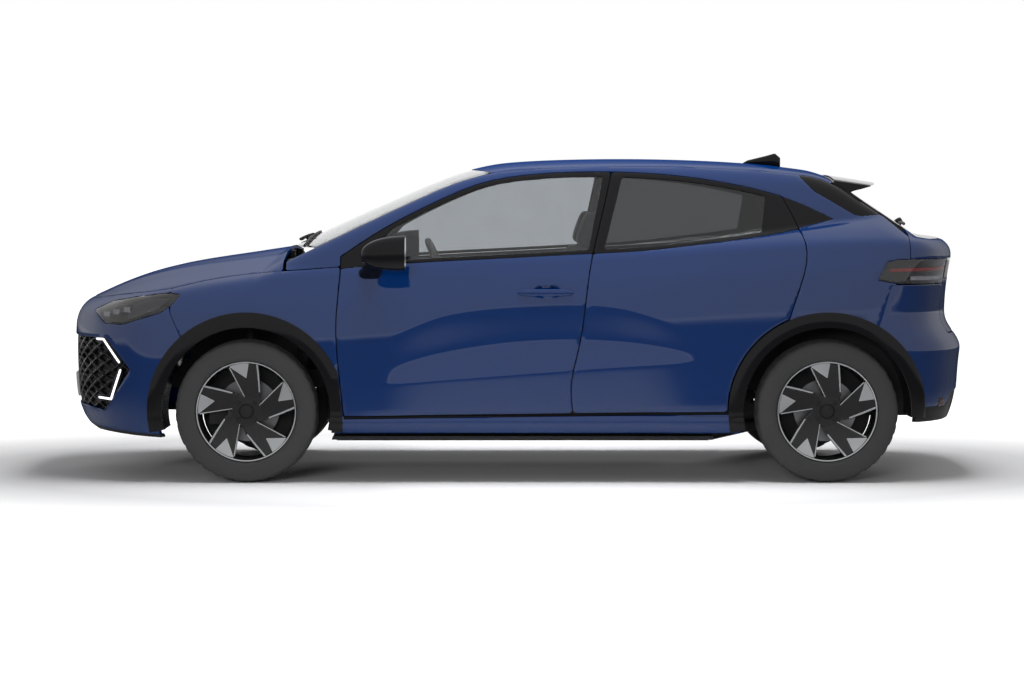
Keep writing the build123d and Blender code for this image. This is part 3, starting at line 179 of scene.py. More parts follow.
def greenhouse(x, z):
    """Half width at the side windows, leaning in with height; under the belt it stays inside the doors."""
    rise = np.maximum(z - BELT_HEIGHT, BELT_FOOT)
    return glass_plan(x) - GLASS_LEAN * rise - GLASS_CURVE * rise * rise


def crowned(crown, y, power=2):
    """How far a crowned surface falls at a distance y from its middle; crown is (fall, reach)."""
    fall, reach = crown
    return fall * (y / reach) ** power


def top(x, y):
    """Height of bonnet, windscreen, roof, rear window and tail deck."""
    bonnet = bonnet_line(x) - crowned(BONNET_CROWN, np.abs(y), 2.2)
    roof = roof_line(x) - crowned(ROOF_CROWN, y)
    back = x - crowned(SCREEN_BOW, y) - SCREEN_FOOT[0]
    screen = SCREEN_FOOT[1] + SCREEN_SLOPE * back - SCREEN_CURVE * back * back
    rear_x, rear_z = REAR_GLASS_TOP
    rear_glass = rear_z - REAR_GLASS_SLOPE * (x + crowned(REAR_GLASS_BOW, y) - rear_x)
    deck = deck_line(x) - crowned(DECK_CROWN, y)
    cabin = smooth_min(smooth_min(screen, roof, CABIN_RADIUS), rear_glass, CABIN_RADIUS)
    front = np.where(x < BONNET_END, bonnet, 0)
    return np.maximum(np.maximum(front, cabin), np.where(x > DECK_START, deck, 0))


def corner(x, y, tip, half, depth, power):
    """A rounded plan corner of a given half width and depth: zero on the skin."""
    past = np.clip(depth - (np.abs(tip) - np.abs(x)), 0, None) / depth
    return ((np.abs(y) / half) ** power + past**power) ** (1 / power) * half - half


def skin(x, y, z):
    """Negative inside the body, positive outside."""
    y = np.abs(y)
    side = y - smooth_max(flank(x, z), greenhouse(x, z), BELT_RADIUS)
    lid = (z - top(x, y)) * 0.9
    nose = corner(np.minimum(x, 0), y, nose_line(z), *NOSE_CORNER)
    tail = corner(np.maximum(x, 0), y, tail_line(z), *TAIL_CORNER)
    return smooth_max(smooth_max(side, lid, EDGE_RADIUS), np.where(x < 0, nose, tail), END_RADIUS)


def meet(place, low, high):
    """Where the skin is crossed between low (inside) and high (outside), by halving, for place(t)."""
    for _ in range(HALVINGS):
        mid = (low + high) / 2
        outside = skin(*place(mid)) > 0
        high = np.where(outside, mid, high)
        low = np.where(outside, low, mid)
    return (low + high) / 2


# %% [markdown]
# ## Four ways to look at the skin
# A panel needs two parameters. A door is easiest from the side, the roof from above, a bumper from an upright
# line inside the car (like a lighthouse), and the tailgate from a line across the car. Each view takes two
# parameters and gives points on the skin, and the way out of it.

# %% Views of the skin
NOSE_AXIS, TAIL_AXIS = -1250.0, 1300.0
HATCH_AXIS = (1250.0, 700.0)


def side_y(x, z):
    x, z = np.broadcast_arrays(np.asarray(x, float), np.asarray(z, float))
    return meet(lambda t: (x, t, z), np.full(x.shape, 50.0), np.full(x.shape, 1768.0))


def top_z(x, y):
    x, y = np.broadcast_arrays(np.asarray(x, float), np.asarray(y, float))
    return meet(lambda t: (x, y, t), np.full(x.shape, 450.0), np.full(x.shape, 1750.0))


def from_side(x, z):
    base = np.stack([x, side_y(x, z), z], -1)
    return base, np.broadcast_to(np.array([0.0, 1.0, 0.0]), base.shape)


def from_above(x, y):
    base = np.stack([x, y, top_z(x, y)], -1)
    return base, np.broadcast_to(np.array([0.0, 0.0, 1.0]), base.shape)


def from_upright(axis):
    """A view from an upright line at x = axis: plan angle and height give the point on the skin."""
    def view(angle, z):
        c, s = np.cos(angle), np.sin(angle)
        r = meet(lambda t: (axis + t * c, t * s, z), np.full(z.shape, 100.0), np.full(z.shape, 1500.0))
        return np.stack([axis + r * c, r * s, z], -1), np.stack([c, s, 0 * c], -1)

    return view


def from_cross_line(angle, y):
    """A view from a line across the car: angle up from the tail's direction and y give the point."""
    c, s = np.cos(angle), np.sin(angle)
    x0, z0 = HATCH_AXIS
    r = meet(lambda t: (x0 + t * c, y, z0 + t * s), np.full(y.shape, 100.0), np.full(y.shape, 1500.0))
    return np.stack([x0 + r * c, y, z0 + r * s], -1), np.stack([c, 0 * c, s], -1)


from_nose, from_tail = from_upright(NOSE_AXIS), from_upright(TAIL_AXIS)

# %% [markdown]
# ## Cutting a panel out of the skin
# A panel's outline is a closed curve in one view. Its distance field is negative inside the outline. A grid
# of parameters is cut along the zero of that field: whole cells stay quads and cut cells become the part
# inside (marching squares, done for all cells of a kind at once). The cut sheet gets a wall and a rim.

# %% Outlines and their distance fields
def run_points(run, count=18):
    """Even steps along a smooth curve through a run of points; a run of two stays a straight line."""
    points = np.array(run, float)
    if len(run) == 2:
        return points
    place = np.r_[0, np.cumsum(np.hypot(*np.diff(points, axis=0).T))]
    steps = np.linspace(0, place[-1], count)
    return np.stack([smooth(list(zip(place, column)))(steps) for column in points.T], -1)


def closed_outline(*runs):
    """Curved and straight runs joined into one closed outline."""
    return np.vstack([run_points(run) for run in runs])


def distance_to(outline, u, v):
    """Distance from points to a closed outline, negative inside: nearest edge, and crossings for the sign."""
    a = np.asarray(outline, float)
    a = a[np.hypot(*(a - np.roll(a, 1, axis=0)).T) > 1e-6]
    b = np.roll(a, -1, axis=0)
    edge = b - a
    du, dv = u[..., None] - a[:, 0], v[..., None] - a[:, 1]
    t = np.clip((du * edge[:, 0] + dv * edge[:, 1]) / (edge * edge).sum(1), 0, 1)
    near = np.hypot(du - t * edge[:, 0], dv - t * edge[:, 1]).min(-1)
    spans = (a[:, 1] > v[..., None]) != (b[:, 1] > v[..., None])
    slope = edge[:, 0] / np.where(edge[:, 1] == 0, 1e-9, edge[:, 1])
    odd = (spans & (du < slope * dv)).sum(-1) % 2 == 1
    return np.where(odd, -near, near)


# %% Marching squares on a grid of parameters
CUT_CELLS = {1: [(0, 4, 7)], 2: [(1, 5, 4)], 4: [(2, 6, 5)], 8: [(3, 7, 6)], 3: [(0, 1, 5, 7)],
             6: [(1, 2, 6, 4)], 12: [(2, 3, 7, 5)], 9: [(3, 0, 4, 6)], 7: [(0, 1, 2, 6, 7)],
             14: [(1, 2, 3, 7, 4)],
             13: [(2, 3, 0, 4, 5)], 11: [(3, 0, 1, 5, 6)], 15: [(0, 1, 2, 3)], 5: [(0, 4, 7), (2, 6, 5)],
             10: [(1, 5, 4), (3, 7, 6)]}


def cut_grid(values, field):
    """Keeps the part of a grid where field < 0: the kept points' values, and faces as arrays by corner count.

    Corners of a cell are 0 to 3 and its edges 4 to 7. On a cut edge the values are mixed so that the field
    is 0.
    """
    n, m = field.shape
    flat = values.reshape(n * m, -1)
    ids = np.arange(n * m).reshape(n, m)

    def edge_values(first, second):
        d0, d1 = field.ravel()[first], field.ravel()[second]
        share = np.clip(d0 / np.where(d0 == d1, 1e-9, d0 - d1), 0.02, 0.98)[..., None]
        return (flat[first] * (1 - share) + flat[second] * share).reshape(-1, flat.shape[1])

    down = n * m + np.arange((n - 1) * m).reshape(n - 1, m)
    over = n * m + (n - 1) * m + np.arange(n * (m - 1)).reshape(n, m - 1)
    everything = np.vstack([flat, edge_values(ids[:-1], ids[1:]), edge_values(ids[:, :-1], ids[:, 1:])])
    cells = np.stack([ids[:-1, :-1], ids[1:, :-1], ids[1:, 1:], ids[:-1, 1:],
                      down[:, :-1], over[1:], down[:, 1:], over[:-1]], -1)
    kept = field < 0
    code = kept[:-1, :-1] + 2 * kept[1:, :-1] + 4 * kept[1:, 1:] + 8 * kept[:-1, 1:]
    faces = [cells[code == kind][:, list(ring)] for kind, rings in CUT_CELLS.items() for ring in rings]
    faces = [f for f in faces if len(f)]
    used = np.unique(np.concatenate([f.ravel() for f in faces]))
    return everything[used], [np.searchsorted(used, f) for f in faces]


def rim_edges(faces):
    """Edges that belong to one face only, in that face's direction."""
    pairs = np.vstack([np.stack([f[:, i], f[:, (i + 1) % f.shape[1]]], -1)
                       for f in faces for i in range(f.shape[1])])
    low, high = pairs.min(1), pairs.max(1)
    _, first, count = np.unique(low * (high.max() + 1) + high, return_index=True, return_counts=True)
    return pairs[first[count == 1]]


def face_normals(points, faces):
    return np.vstack([np.cross(points[f[:, 1]] - points[f[:, 0]], points[f[:, 2]] - points[f[:, 0]])
                      for f in faces])


def walled(outer, inner, faces):
    """A closed shell: an outer sheet, the same sheet deeper in, and a rim between their edges."""
    first = np.concatenate([f[:, 0] for f in faces])
    if np.sum(face_normals(outer, faces) * (outer[first] - inner[first])) < 0:
        faces = [f[:, ::-1] for f in faces]
    count = len(outer)
    a, b = rim_edges(faces).T
    rim = np.stack([a, a + count, b + count, b], -1)
    return np.vstack([outer, inner]), faces + [f[:, ::-1] + count for f in faces] + [rim]


# %% A panel of the skin
def panel(view, u, v, fields, depth=0.0, wall=12.0, roll=2.0, relief=None):
    """A patch of the skin cut by its fields (the largest one counts), rolled over at its edge.

    depth is how far under the skin it lies; relief(u, v) is added to it, for cups and grooves.
    """
    field = fields(u, v)
    values, faces = cut_grid(np.stack([u, v, field], -1), field)
    pu, pv, near = values.T
    base, out = view(pu, pv)
    edge = np.clip(roll + near, 0, roll) if roll else 0.0
    lowered = depth + (roll - np.sqrt(np.maximum(roll * roll - edge * edge, 0)) if roll else 0.0)
    if relief is not None:
        lowered = lowered + relief(pu, pv)
    deep = np.full(len(pu), depth + wall) if np.ndim(wall) == 0 else depth + wall
    return walled(base - np.reshape(lowered, (-1, 1)) * out, base - deep[:, None] * out, faces)


def mirrored(shell):
    points, faces = shell
    return points * (1, -1, 1), [f[:, ::-1] for f in faces]


def both(shell):
    return [shell, mirrored(shell)]


SIDES = (("right", lambda shell: shell), ("left", mirrored))
ALONG, ACROSS, UP = np.eye(3)


def mesh_grid(points, close_u=False, close_v=False):
    """Faces over a grid of points of shape (n, m, 3), joined round where asked."""
    n, m = points.shape[:2]
    ids = np.arange(n * m).reshape(n, m)
    if close_u:
        ids = np.vstack([ids, ids[:1]])
    if close_v:
        ids = np.hstack([ids, ids[:, :1]])
    quads = np.stack([ids[:-1, :-1], ids[1:, :-1], ids[1:, 1:], ids[:-1, 1:]], -1).reshape(-1, 4)
    return points.reshape(-1, 3), [quads]


def capped(points):
    """A tube of rings (n, m, 3), closed round each ring and capped at both ends, faces outwards."""
    flat, faces = mesh_grid(points, close_v=True)
    n, m = points.shape[:2]
    ends = [np.arange(m)[None], (np.arange(m) + (n - 1) * m)[None, ::-1]]
    faces = faces + ends
    centre = flat.mean(0)
    first = np.concatenate([f[:, 0] for f in faces])
    if np.sum(face_normals(flat, faces) * (flat[first] - centre)) < 0:
        faces = [f[:, ::-1] for f in faces]
    return flat, faces


made = []


def piece(name, body, shells, materials, replaces=(), sharp=32.0, pick=None):
    """Puts shells into one mesh object that rides on a body. pick lists each shell's material number."""
    points, faces, numbers, start = [], [], [], 0
    for i, (co, groups) in enumerate(shells):
        points.append(co)
        for group in groups:
            faces.extend((group + start).tolist())
            numbers.extend([pick[i] if pick else 0] * len(group))
        start += len(co)
    mesh = bpy.data.meshes.new(name)
    mesh.from_pydata((np.vstack(points) * MM).tolist(), [], faces)
    for material in materials:
        mesh.materials.append(material)
    mesh.polygons.foreach_set("material_index", np.array(numbers, np.int32))
    mesh.shade_smooth()
    mesh.set_sharp_from_angle(angle=math.radians(sharp))
    mesh.update()
    obj = bpy.data.objects.new(name, mesh)
    bpy.context.scene.collection.objects.link(obj)
    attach(obj, body)
    if replaces:
        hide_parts(*replaces)
    made.append(obj)
    return obj

# %% [markdown]
# ## Finishes
# The real car shows paint under clear coat, gloss and satin black plastic, tinted glass, rubber, turned
# aluminium and woven trim. Effects that several of them share are node groups: a fine grain, dust thrown up
# by the wheels, a weave. Each material places a group with its own values.

# %% Node helpers
def add(tree, kind, inputs=None, **settings):
    """Adds a node; an input given as a socket is linked, and any other value is set."""
    node = tree.nodes.new(kind)
    for key, value in settings.items():
        setattr(node, key, value)
    for key, value in (inputs or {}).items():
        if isinstance(value, bpy.types.NodeSocket):
            tree.links.new(value, node.inputs[key])
        else:
            node.inputs[key].default_value = value
    return node


def math_node(tree, operation, first, second=0.0):
    return add(tree, "ShaderNodeMath", {0: first, 1: second}, operation=operation).outputs[0]


def new_group(name, inputs, outputs):
    """A shader node group with float inputs (label, value) and float outputs."""
    group = bpy.data.node_groups.new(name, "ShaderNodeTree")
    for label, value in inputs:
        group.interface.new_socket(label, in_out="INPUT", socket_type="NodeSocketFloat").default_value = value
    for label in outputs:
        group.interface.new_socket(label, in_out="OUTPUT", socket_type="NodeSocketFloat")
    return group, group.nodes.new("NodeGroupInput").outputs, group.nodes.new("NodeGroupOutput")


# %% Shared effects
grain_group, given, result = new_group("fine_grain", [("Scale", 900.0), ("Strength", 1.0)],
                                       ["Height", "Mottle"])
place = add(grain_group, "ShaderNodeTexCoord").outputs["Object"]
fine = add(grain_group, "ShaderNodeTexNoise", {"Vector": place, "Scale": given["Scale"], "Detail": 3.0})
broad = add(grain_group, "ShaderNodeTexNoise", {"Vector": place, "Scale": 9.0, "Detail": 5.0})
grain_height = math_node(grain_group, "MULTIPLY", fine.outputs[0], given["Strength"])
grain_group.links.new(grain_height, result.inputs["Height"])
grain_group.links.new(broad.outputs[0], result.inputs["Mottle"])

dust_group, given, result = new_group("road_dust", [("Top", 0.45), ("Amount", 0.5)], ["Mask"])
place = add(dust_group, "ShaderNodeTexCoord").outputs["Object"]
height = add(dust_group, "ShaderNodeSeparateXYZ", {0: place}).outputs["Z"]
fall = add(dust_group, "ShaderNodeMapRange", {"Value": height, "From Min": 0.08, "From Max": given["Top"],
                                             "To Min": 1.0, "To Max": 0.0})
clouds = add(dust_group, "ShaderNodeTexNoise", {"Vector": place, "Scale": 11.0, "Detail": 6.0})
specks = math_node(dust_group, "MULTIPLY", fall.outputs[0], clouds.outputs[0])
dust_group.links.new(math_node(dust_group, "MULTIPLY", specks, given["Amount"]), result.inputs["Mask"])

weave_group, given, result = new_group("weave", [("Thread", 0.0022)], ["Height", "Shade"])
place = add(weave_group, "ShaderNodeTexCoord").outputs["Object"]
axes = add(weave_group, "ShaderNodeSeparateXYZ", {0: place}).outputs
turns = math_node(weave_group, "DIVIDE", 2 * math.pi, given["Thread"])
along = math_node(weave_group, "ADD", axes["X"], axes["Z"])
warp = math_node(weave_group, "SINE", math_node(weave_group, "MULTIPLY", axes["Y"], turns))
weft = math_node(weave_group, "SINE", math_node(weave_group, "MULTIPLY", along, turns))
cross = math_node(weave_group, "MULTIPLY", warp, weft)
weave_group.links.new(cross, result.inputs["Height"])
fuzz = add(weave_group, "ShaderNodeTexNoise", {"Vector": place, "Scale": 140.0, "Detail": 4.0})
threads = math_node(weave_group, "MULTIPLY", cross, 0.12)
weave_group.links.new(math_node(weave_group, "ADD", threads, fuzz.outputs[0]), result.inputs["Shade"])

# %% A finish from its colour, gloss, grain and dust
DUST_COLOUR = (0.16, 0.14, 0.12, 1.0)


def finish(name, colour, rough, grain=(900.0, 0.25), mottle=0.15, dust=None, fixed=None):
    """A solid finish. grain is (scale per metre, bump in mm) and dust is (top, amount).

    mottle is the share by which roughness and shade vary.
    """
    material = bpy.data.materials.new(name)
    material.use_nodes = True
    tree = material.node_tree
    shader = tree.nodes["Principled BSDF"]
    for key, value in (fixed or {}).items():
        shader.inputs[key].default_value = value
    grains = add(tree, "ShaderNodeGroup", {}, node_tree=grain_group)
    grains.inputs["Scale"].default_value = grain[0]
    grains.inputs["Strength"].default_value = 1.0
    roughness = add(tree, "ShaderNodeMapRange", {
        "Value": grains.outputs["Mottle"], "To Min": rough * (1 - mottle),
        "To Max": rough * (1 + mottle)}).outputs[0]
    bump = add(tree, "ShaderNodeBump", {"Height": grains.outputs["Height"], "Distance": grain[1] * MM,
                                        "Strength": 0.5})
    tree.links.new(bump.outputs[0], shader.inputs["Normal"])
    shade = add(tree, "ShaderNodeMapRange", {
        "Value": grains.outputs["Mottle"], "To Min": 1 - 0.5 * mottle, "To Max": 1 + 0.5 * mottle}).outputs[0]
    tint = add(tree, "ShaderNodeMix", data_type="RGBA", blend_type="MULTIPLY")
    tree.links.new(shade, tint.inputs[7])
    tint.inputs[0].default_value = 1.0
    tint.inputs[6].default_value = (*colour, 1.0)
    final = tint.outputs[2]
    if dust:
        mask = add(tree, "ShaderNodeGroup", {}, node_tree=dust_group)
        mask.inputs["Top"].default_value, mask.inputs["Amount"].default_value = dust
        dusty = add(tree, "ShaderNodeMix", data_type="RGBA")
        dusty.inputs[7].default_value = DUST_COLOUR
        tree.links.new(mask.outputs[0], dusty.inputs[0])
        tree.links.new(final, dusty.inputs[6])
        final = dusty.outputs[2]
        roughness = math_node(tree, "ADD", roughness, math_node(tree, "MULTIPLY", mask.outputs[0], 0.5))
    tree.links.new(final, shader.inputs["Base Color"])
    tree.links.new(roughness, shader.inputs["Roughness"])
    return material


# %% Paint, plastics and metals
paint = finish("blue_paint", (0.0011, 0.021, 0.105), 0.42, grain=(2600.0, 0.03), mottle=0.05,
               dust=(0.30, 0.03), fixed={"Metallic": 0.03, "Coat Weight": 0.9, "Coat Roughness": 0.02,
                                         "Coat IOR": 1.5, "Specular IOR Level": 0.0,
                                         "Specular Tint": (0.10, 0.25, 0.60, 1.0)})
slant = add(paint.node_tree, "ShaderNodeLayerWeight", {"Blend": 0.5}).outputs["Facing"]
clear_coat = add(paint.node_tree, "ShaderNodeMapRange", {"Value": slant, "From Min": 0.55, "From Max": 0.95,
                                                         "To Min": 0.95, "To Max": 0.03}).outputs[0]
paint.node_tree.links.new(clear_coat, paint.node_tree.nodes["Principled BSDF"].inputs["Coat Weight"])
gloss_black = finish("gloss_black", (0.004, 0.004, 0.005), 0.12, grain=(60.0, 0.02), dust=(0.5, 0.05),
                     fixed={"Specular IOR Level": 0.18})
satin_black = finish("satin_black", (0.014, 0.014, 0.015), 0.5, grain=(1400.0, 0.25), dust=(0.4, 0.08),
                     fixed={"Specular IOR Level": 0.15})
rubber = finish("tyre_rubber", (0.048, 0.048, 0.049), 0.7, grain=(1100.0, 0.3), mottle=0.2, dust=(0.7, 0.04),
                fixed={"Specular IOR Level": 0.12})
wheel_black = finish("wheel_black", (0.005, 0.005, 0.0055), 0.22, grain=(1500.0, 0.03), dust=(0.7, 0.04),
                     fixed={"Specular IOR Level": 0.35})
turned_alloy = finish("turned_alloy", (0.34, 0.35, 0.36), 0.32, grain=(3000.0, 0.03), fixed={"Metallic": 1.0})
disc_steel = finish("disc_steel", (0.16, 0.16, 0.165), 0.38, grain=(1600.0, 0.06), fixed={"Metallic": 1.0})
cast_iron = finish("cast_iron", (0.02, 0.02, 0.021), 0.65, grain=(420.0, 0.5), mottle=0.3, dust=(0.5, 0.15),
                   fixed={"Metallic": 0.4})
bright_trim = finish("bright_trim", (0.75, 0.76, 0.78), 0.12, grain=(900.0, 0.01), fixed={"Metallic": 1.0})
plate_white = finish("blank_plate", (0.55, 0.56, 0.55), 0.4, grain=(700.0, 0.05), dust=(0.8, 0.15))
dash_plastic = finish("dash_plastic", (0.045, 0.045, 0.048), 0.55, grain=(700.0, 0.5), mottle=0.2)
lamp_dark = finish("lamp_dark", (0.012, 0.012, 0.014), 0.2, grain=(300.0, 0.05))
carpet = finish("carpet", (0.02, 0.02, 0.022), 0.95, grain=(500.0, 1.2), mottle=0.3)


# %% Glass, lamps and cloth
def glass(name, tint, **fixed):
    """A see-through pane: each of its two faces takes its share of the light. Its tint varies a little."""
    material = bpy.data.materials.new(name)
    material.use_nodes = True
    tree = material.node_tree
    shader = tree.nodes["Principled BSDF"]
    values = {"Transmission Weight": 1.0, "Roughness": 0.0, "IOR": 1.45, **fixed}
    for key, value in values.items():
        shader.inputs[key].default_value = value
    grains = add(tree, "ShaderNodeGroup", {"Scale": 40.0}, node_tree=grain_group)
    shade = add(tree, "ShaderNodeMapRange", {"Value": grains.outputs["Mottle"],
                                             "To Min": 0.96, "To Max": 1.04})
    tint_node = add(tree, "ShaderNodeMix", data_type="RGBA", blend_type="MULTIPLY")
    tint_node.inputs[0].default_value = 1.0
    tint_node.inputs[6].default_value = (*tint, 1.0)
    tree.links.new(shade.outputs[0], tint_node.inputs[7])
    tree.links.new(tint_node.outputs[2], shader.inputs["Base Color"])
    return material


front_glass = glass("tinted_glass", (0.55, 0.57, 0.59))
rear_glass_tint = glass("privacy_glass", (0.20, 0.21, 0.22))
lens_dark = glass("smoked_lens", (0.36, 0.36, 0.38))
lens_red = glass("red_lens", (0.55, 0.02, 0.02))


def glowing(name, colour, strength):
    material = finish(name, colour, 0.3)
    shader = material.node_tree.nodes["Principled BSDF"]
    shader.inputs["Emission Color"].default_value = (*colour, 1.0)
    shader.inputs["Emission Strength"].default_value = strength
    return material


running_light = glowing("running_light", (0.95, 0.96, 1.0), 1.2)
tail_light = glowing("tail_light", (0.5, 0.01, 0.01), 0.25)


def cloth(name, colour, thread, sheen):
    """Woven trim: a weave in bump and shade, with a soft sheen."""
    material = bpy.data.materials.new(name)
    material.use_nodes = True
    tree = material.node_tree
    shader = tree.nodes["Principled BSDF"]
    shader.inputs["Roughness"].default_value = 0.9
    shader.inputs["Sheen Weight"].default_value = sheen
    weave = add(tree, "ShaderNodeGroup", {"Thread": thread}, node_tree=weave_group)
    shade = add(tree, "ShaderNodeMix", data_type="RGBA", blend_type="MULTIPLY")
    shade.inputs[0].default_value = 1.0
    shade.inputs[6].default_value = (*colour, 1.0)
    lift = math_node(tree, "ADD", weave.outputs["Shade"], 0.5)
    tree.links.new(lift, shade.inputs[7])
    tree.links.new(shade.outputs[2], shader.inputs["Base Color"])
    bump = add(tree, "ShaderNodeBump", {"Height": weave.outputs["Height"], "Distance": 0.0006,
                                        "Strength": 0.6})
    tree.links.new(bump.outputs[0], shader.inputs["Normal"])
    return material


seat_cloth = cloth("seat_cloth", (0.030, 0.031, 0.034), 0.004, 0.3)
headliner = cloth("headliner", (0.18, 0.18, 0.175), 0.003, 0.2)
print("finishes:", len(bpy.data.materials))

# %% [markdown]
# ## Shut lines
# These are the lines that part the panels, read off the side of the car: the doors, the windows, the lamps,
# the bumpers, the bonnet's edge. They are the same lines that the solids were cut along.

# %% Door, window and lamp outlines
HALF_GAP = 2.5
FRONT_AXLE, REAR_AXLE, WHEEL_Z, WHEEL_Y = -1205.0, 1386.0, 318.5, 761.5
ARCH_OUTER, ARCH_CUT = 443.0, 400.0
window_top = smooth([(-865, 951), (-679, 1081), (-484, 1194), (-289, 1287), (-146, 1341), (2, 1369),
                     (195, 1385), (554, 1384), (823, 1359), (1025, 1323), (1227, 1268), (1442, 1171)])
belt = smooth([(-865, 951), (-487, 981), (2, 1007), (330, 1024), (549, 1036), (816, 1065), (994, 1087),
               (1217, 1123), (1430, 1172)])
bonnet_edge = smooth([(-2010, 806), (-1900, 820), (-1750, 840), (-1568, 862), (-1399, 900), (-1270, 921),
                      (-1099, 940), (-1020, 946)])
HEADLAMP = [(-1905, 767), (-1821, 806), (-1705, 827), (-1568, 844), (-1499, 840), (-1533, 798), (-1585, 759),
            (-1766, 704), (-1851, 708), (-1885, 740)]
GRILLE = [(-2140, 640), (-1930, 641), (-1845, 643), (-1728, 504), (-1853, 315), (-1952, 330), (-2140, 330)]
BUMPER_FOOT = 560
BUMPER_SPLIT = [(BUMPER_FOOT, -1380), (640, -1490), (760, -1545), (930, -1545)]
REAR_BUMPER_SPLIT = [(400, 1500), (560, 1560), (667, 1598), (729, 1624), (880, 1668)]
REAR_LAMP_STEP = [(884, 1700), (886, 1755)]
CHIN_LINE = [(-2060, 285), (-1900, 235), (-1560, 213), (-1300, 213)]
TAIL_LAMP = [(1608, 905), (1650, 985), (1700, 996), (2100, 1000), (2100, 886), (1757, 886), (1690, 890)]
DOOR_FRONT_RUN = [(-785, float(window_top(-785))), (-786, 950), (-803, 720), (-792, 500), (-770, 297)]
B_RUN = [(252, 309), (243, 440), (275, 590), (330, 965), (385, 1200), (428, float(window_top(428)))]
REAR_DOOR_TAIL = [(1150, 560), (1190, 660), (1218, 745), (1267, 893), (1291, 990), (1293, 1039), (1267, 1136),
                  (1195, float(window_top(1195)))]


def read_off(points, place):
    """The value at a place on a line of straight runs through (place, value) points."""
    return np.interp(place, *zip(*points))


def along_line(line, x0, x1, shift, count=9):
    return [(x, float(line(x)) + shift) for x in np.linspace(x0, x1, count)]


FRONT_DOOR = closed_outline(DOOR_FRONT_RUN, B_RUN, along_line(window_top, 428, -785, 0))
REAR_DOOR = closed_outline(B_RUN[::-1], [(252, 309), (1020, 318)], REAR_DOOR_TAIL,
                           along_line(window_top, 1195, 428, 0))
FRONT_WINDOW = closed_outline(along_line(belt, -690, 322, 13), along_line(window_top, 388, -560, -24))
REAR_WINDOW = closed_outline(along_line(belt, 392, 1098, 13), along_line(window_top, 1120, 476, -24))
QUARTER_TRIM = closed_outline(along_line(window_top, 1195, 1436, -2), along_line(belt, 1425, 1270, 4))


def all_of(*fields):
    """Inside every field: the largest value counts."""
    return np.maximum.reduce(np.broadcast_arrays(*fields))


def outside_arch(axle, x, z, radius=ARCH_CUT):
    return radius - np.hypot(x - axle, z - WHEEL_Z)


# %% Roof edge, bonnet region and grids
ROOF_EDGE, HEADER, SCREEN_BASE, SCREEN_SWEEP = 26.0, -212.0, -1028.0, 85.0
BONNET_REAR, BONNET_NOSE, BONNET_CORNER, BONNET_HALF = -1045.0, -2010.0, -1780.0, 800.0


def split_y(x):
    """Half width at which the roof panel meets its rail: where side and top would meet, less the edge."""
    x = np.asarray(x, float)
    y = np.full(x.shape, 600.0)
    for _ in range(30):
        z = top(x, y)
        y = 0.5 * y + 0.5 * np.maximum(flank(x, z), greenhouse(x, z))
    return y - ROOF_EDGE


split_table = np.linspace(-1100, 1800, 400)
split_values = split_y(split_table)


def roof_half(x):
    return np.interp(x, split_table, split_values)


def swept(x, y):
    return x + SCREEN_SWEEP * (y / 600) ** 2


def bonnet_field(x, y, z):
    """Negative on the bonnet: behind its nose edge, ahead of its rear edge and above its side edges."""
    nose = BONNET_NOSE + (BONNET_CORNER - BONNET_NOSE) * np.minimum(np.abs(y) / BONNET_HALF, 1) ** 2.4
    return all_of(nose - x, x - BONNET_REAR, (bonnet_edge(x) + HALF_GAP - z) * 0.9)


ROW_COUNTS = (11, 1, 9, 7, 36, 12, 7, 34)


def side_grid(x0, x1, step=11.0):
    """Columns of even x, and rows that follow sill, crease and shoulder, so that those lines stay sharp."""
    x = np.linspace(x0, x1, int((x1 - x0) / step))[:, None]
    crease, shoulder = crease_line(x), shoulder_line(x)
    knots = [195 + 0 * x, SILL_TOP - 1 + 0 * x, SILL_TOP + 1 + 0 * x, crease, crease + 60,
             shoulder - 120, shoulder, shoulder + 60, 1465 + 0 * x]
    rows = []
    for low, high, count in zip(knots[:-1], knots[1:], ROW_COUNTS):
        rows.append(low + (high - low) * np.arange(count) / count)
    z = np.hstack(rows + [knots[-1]])
    return np.broadcast_to(x, z.shape), z


def even_grid(u0, u1, v0, v1, nu, nv):
    return np.meshgrid(np.linspace(u0, u1, nu), np.linspace(v0, v1, nv), indexing="ij")


LONG_LINE = (330.0, 800.0)


def from_long_line(x, angle):
    """A view from a line along the car, at a set y and z: x and an angle up from the right give the point."""
    c, s = np.cos(angle), np.sin(angle)
    y0, z0 = LONG_LINE
    r = meet(lambda t: (x, y0 + t * c, z0 + t * s), np.full(x.shape, 60.0), np.full(x.shape, 1300.0))
    return np.stack([x, y0 + r * c, z0 + r * s], -1), np.stack([0 * x, c, s], -1)


def seen_as(view, test):
    """A field on a view's own parameters from a test on the points they give."""
    def field(u, v):
        return test(*np.moveaxis(view(u, v)[0], -1, 0))

    return field


# %% [markdown]
# ## Doors
# Each door is a painted skin up to the belt line, a black frame round its glass, and a trim card inside. The
# skin is pressed with a scoop over a sharp crease, which the rows of the grid follow. The front door's handle
# sits over a shallow cup.

# %% Door skins, frames, glass and cards
HANDLE = (130.0, 850.0)
HANDLE_HALF, CUP_HALF, CUP_DEPTH = 127.0, (62.0, 27.0), 17.0


def handle_cup(x, z):
    """A shallow oval bowl behind the front door's handle."""
    far = ((x - HANDLE[0] - 6) / CUP_HALF[0]) ** 2 + ((z - HANDLE[1] - 4) / CUP_HALF[1]) ** 2
    return CUP_DEPTH * np.clip(1 - far, 0, 1) ** 0.8


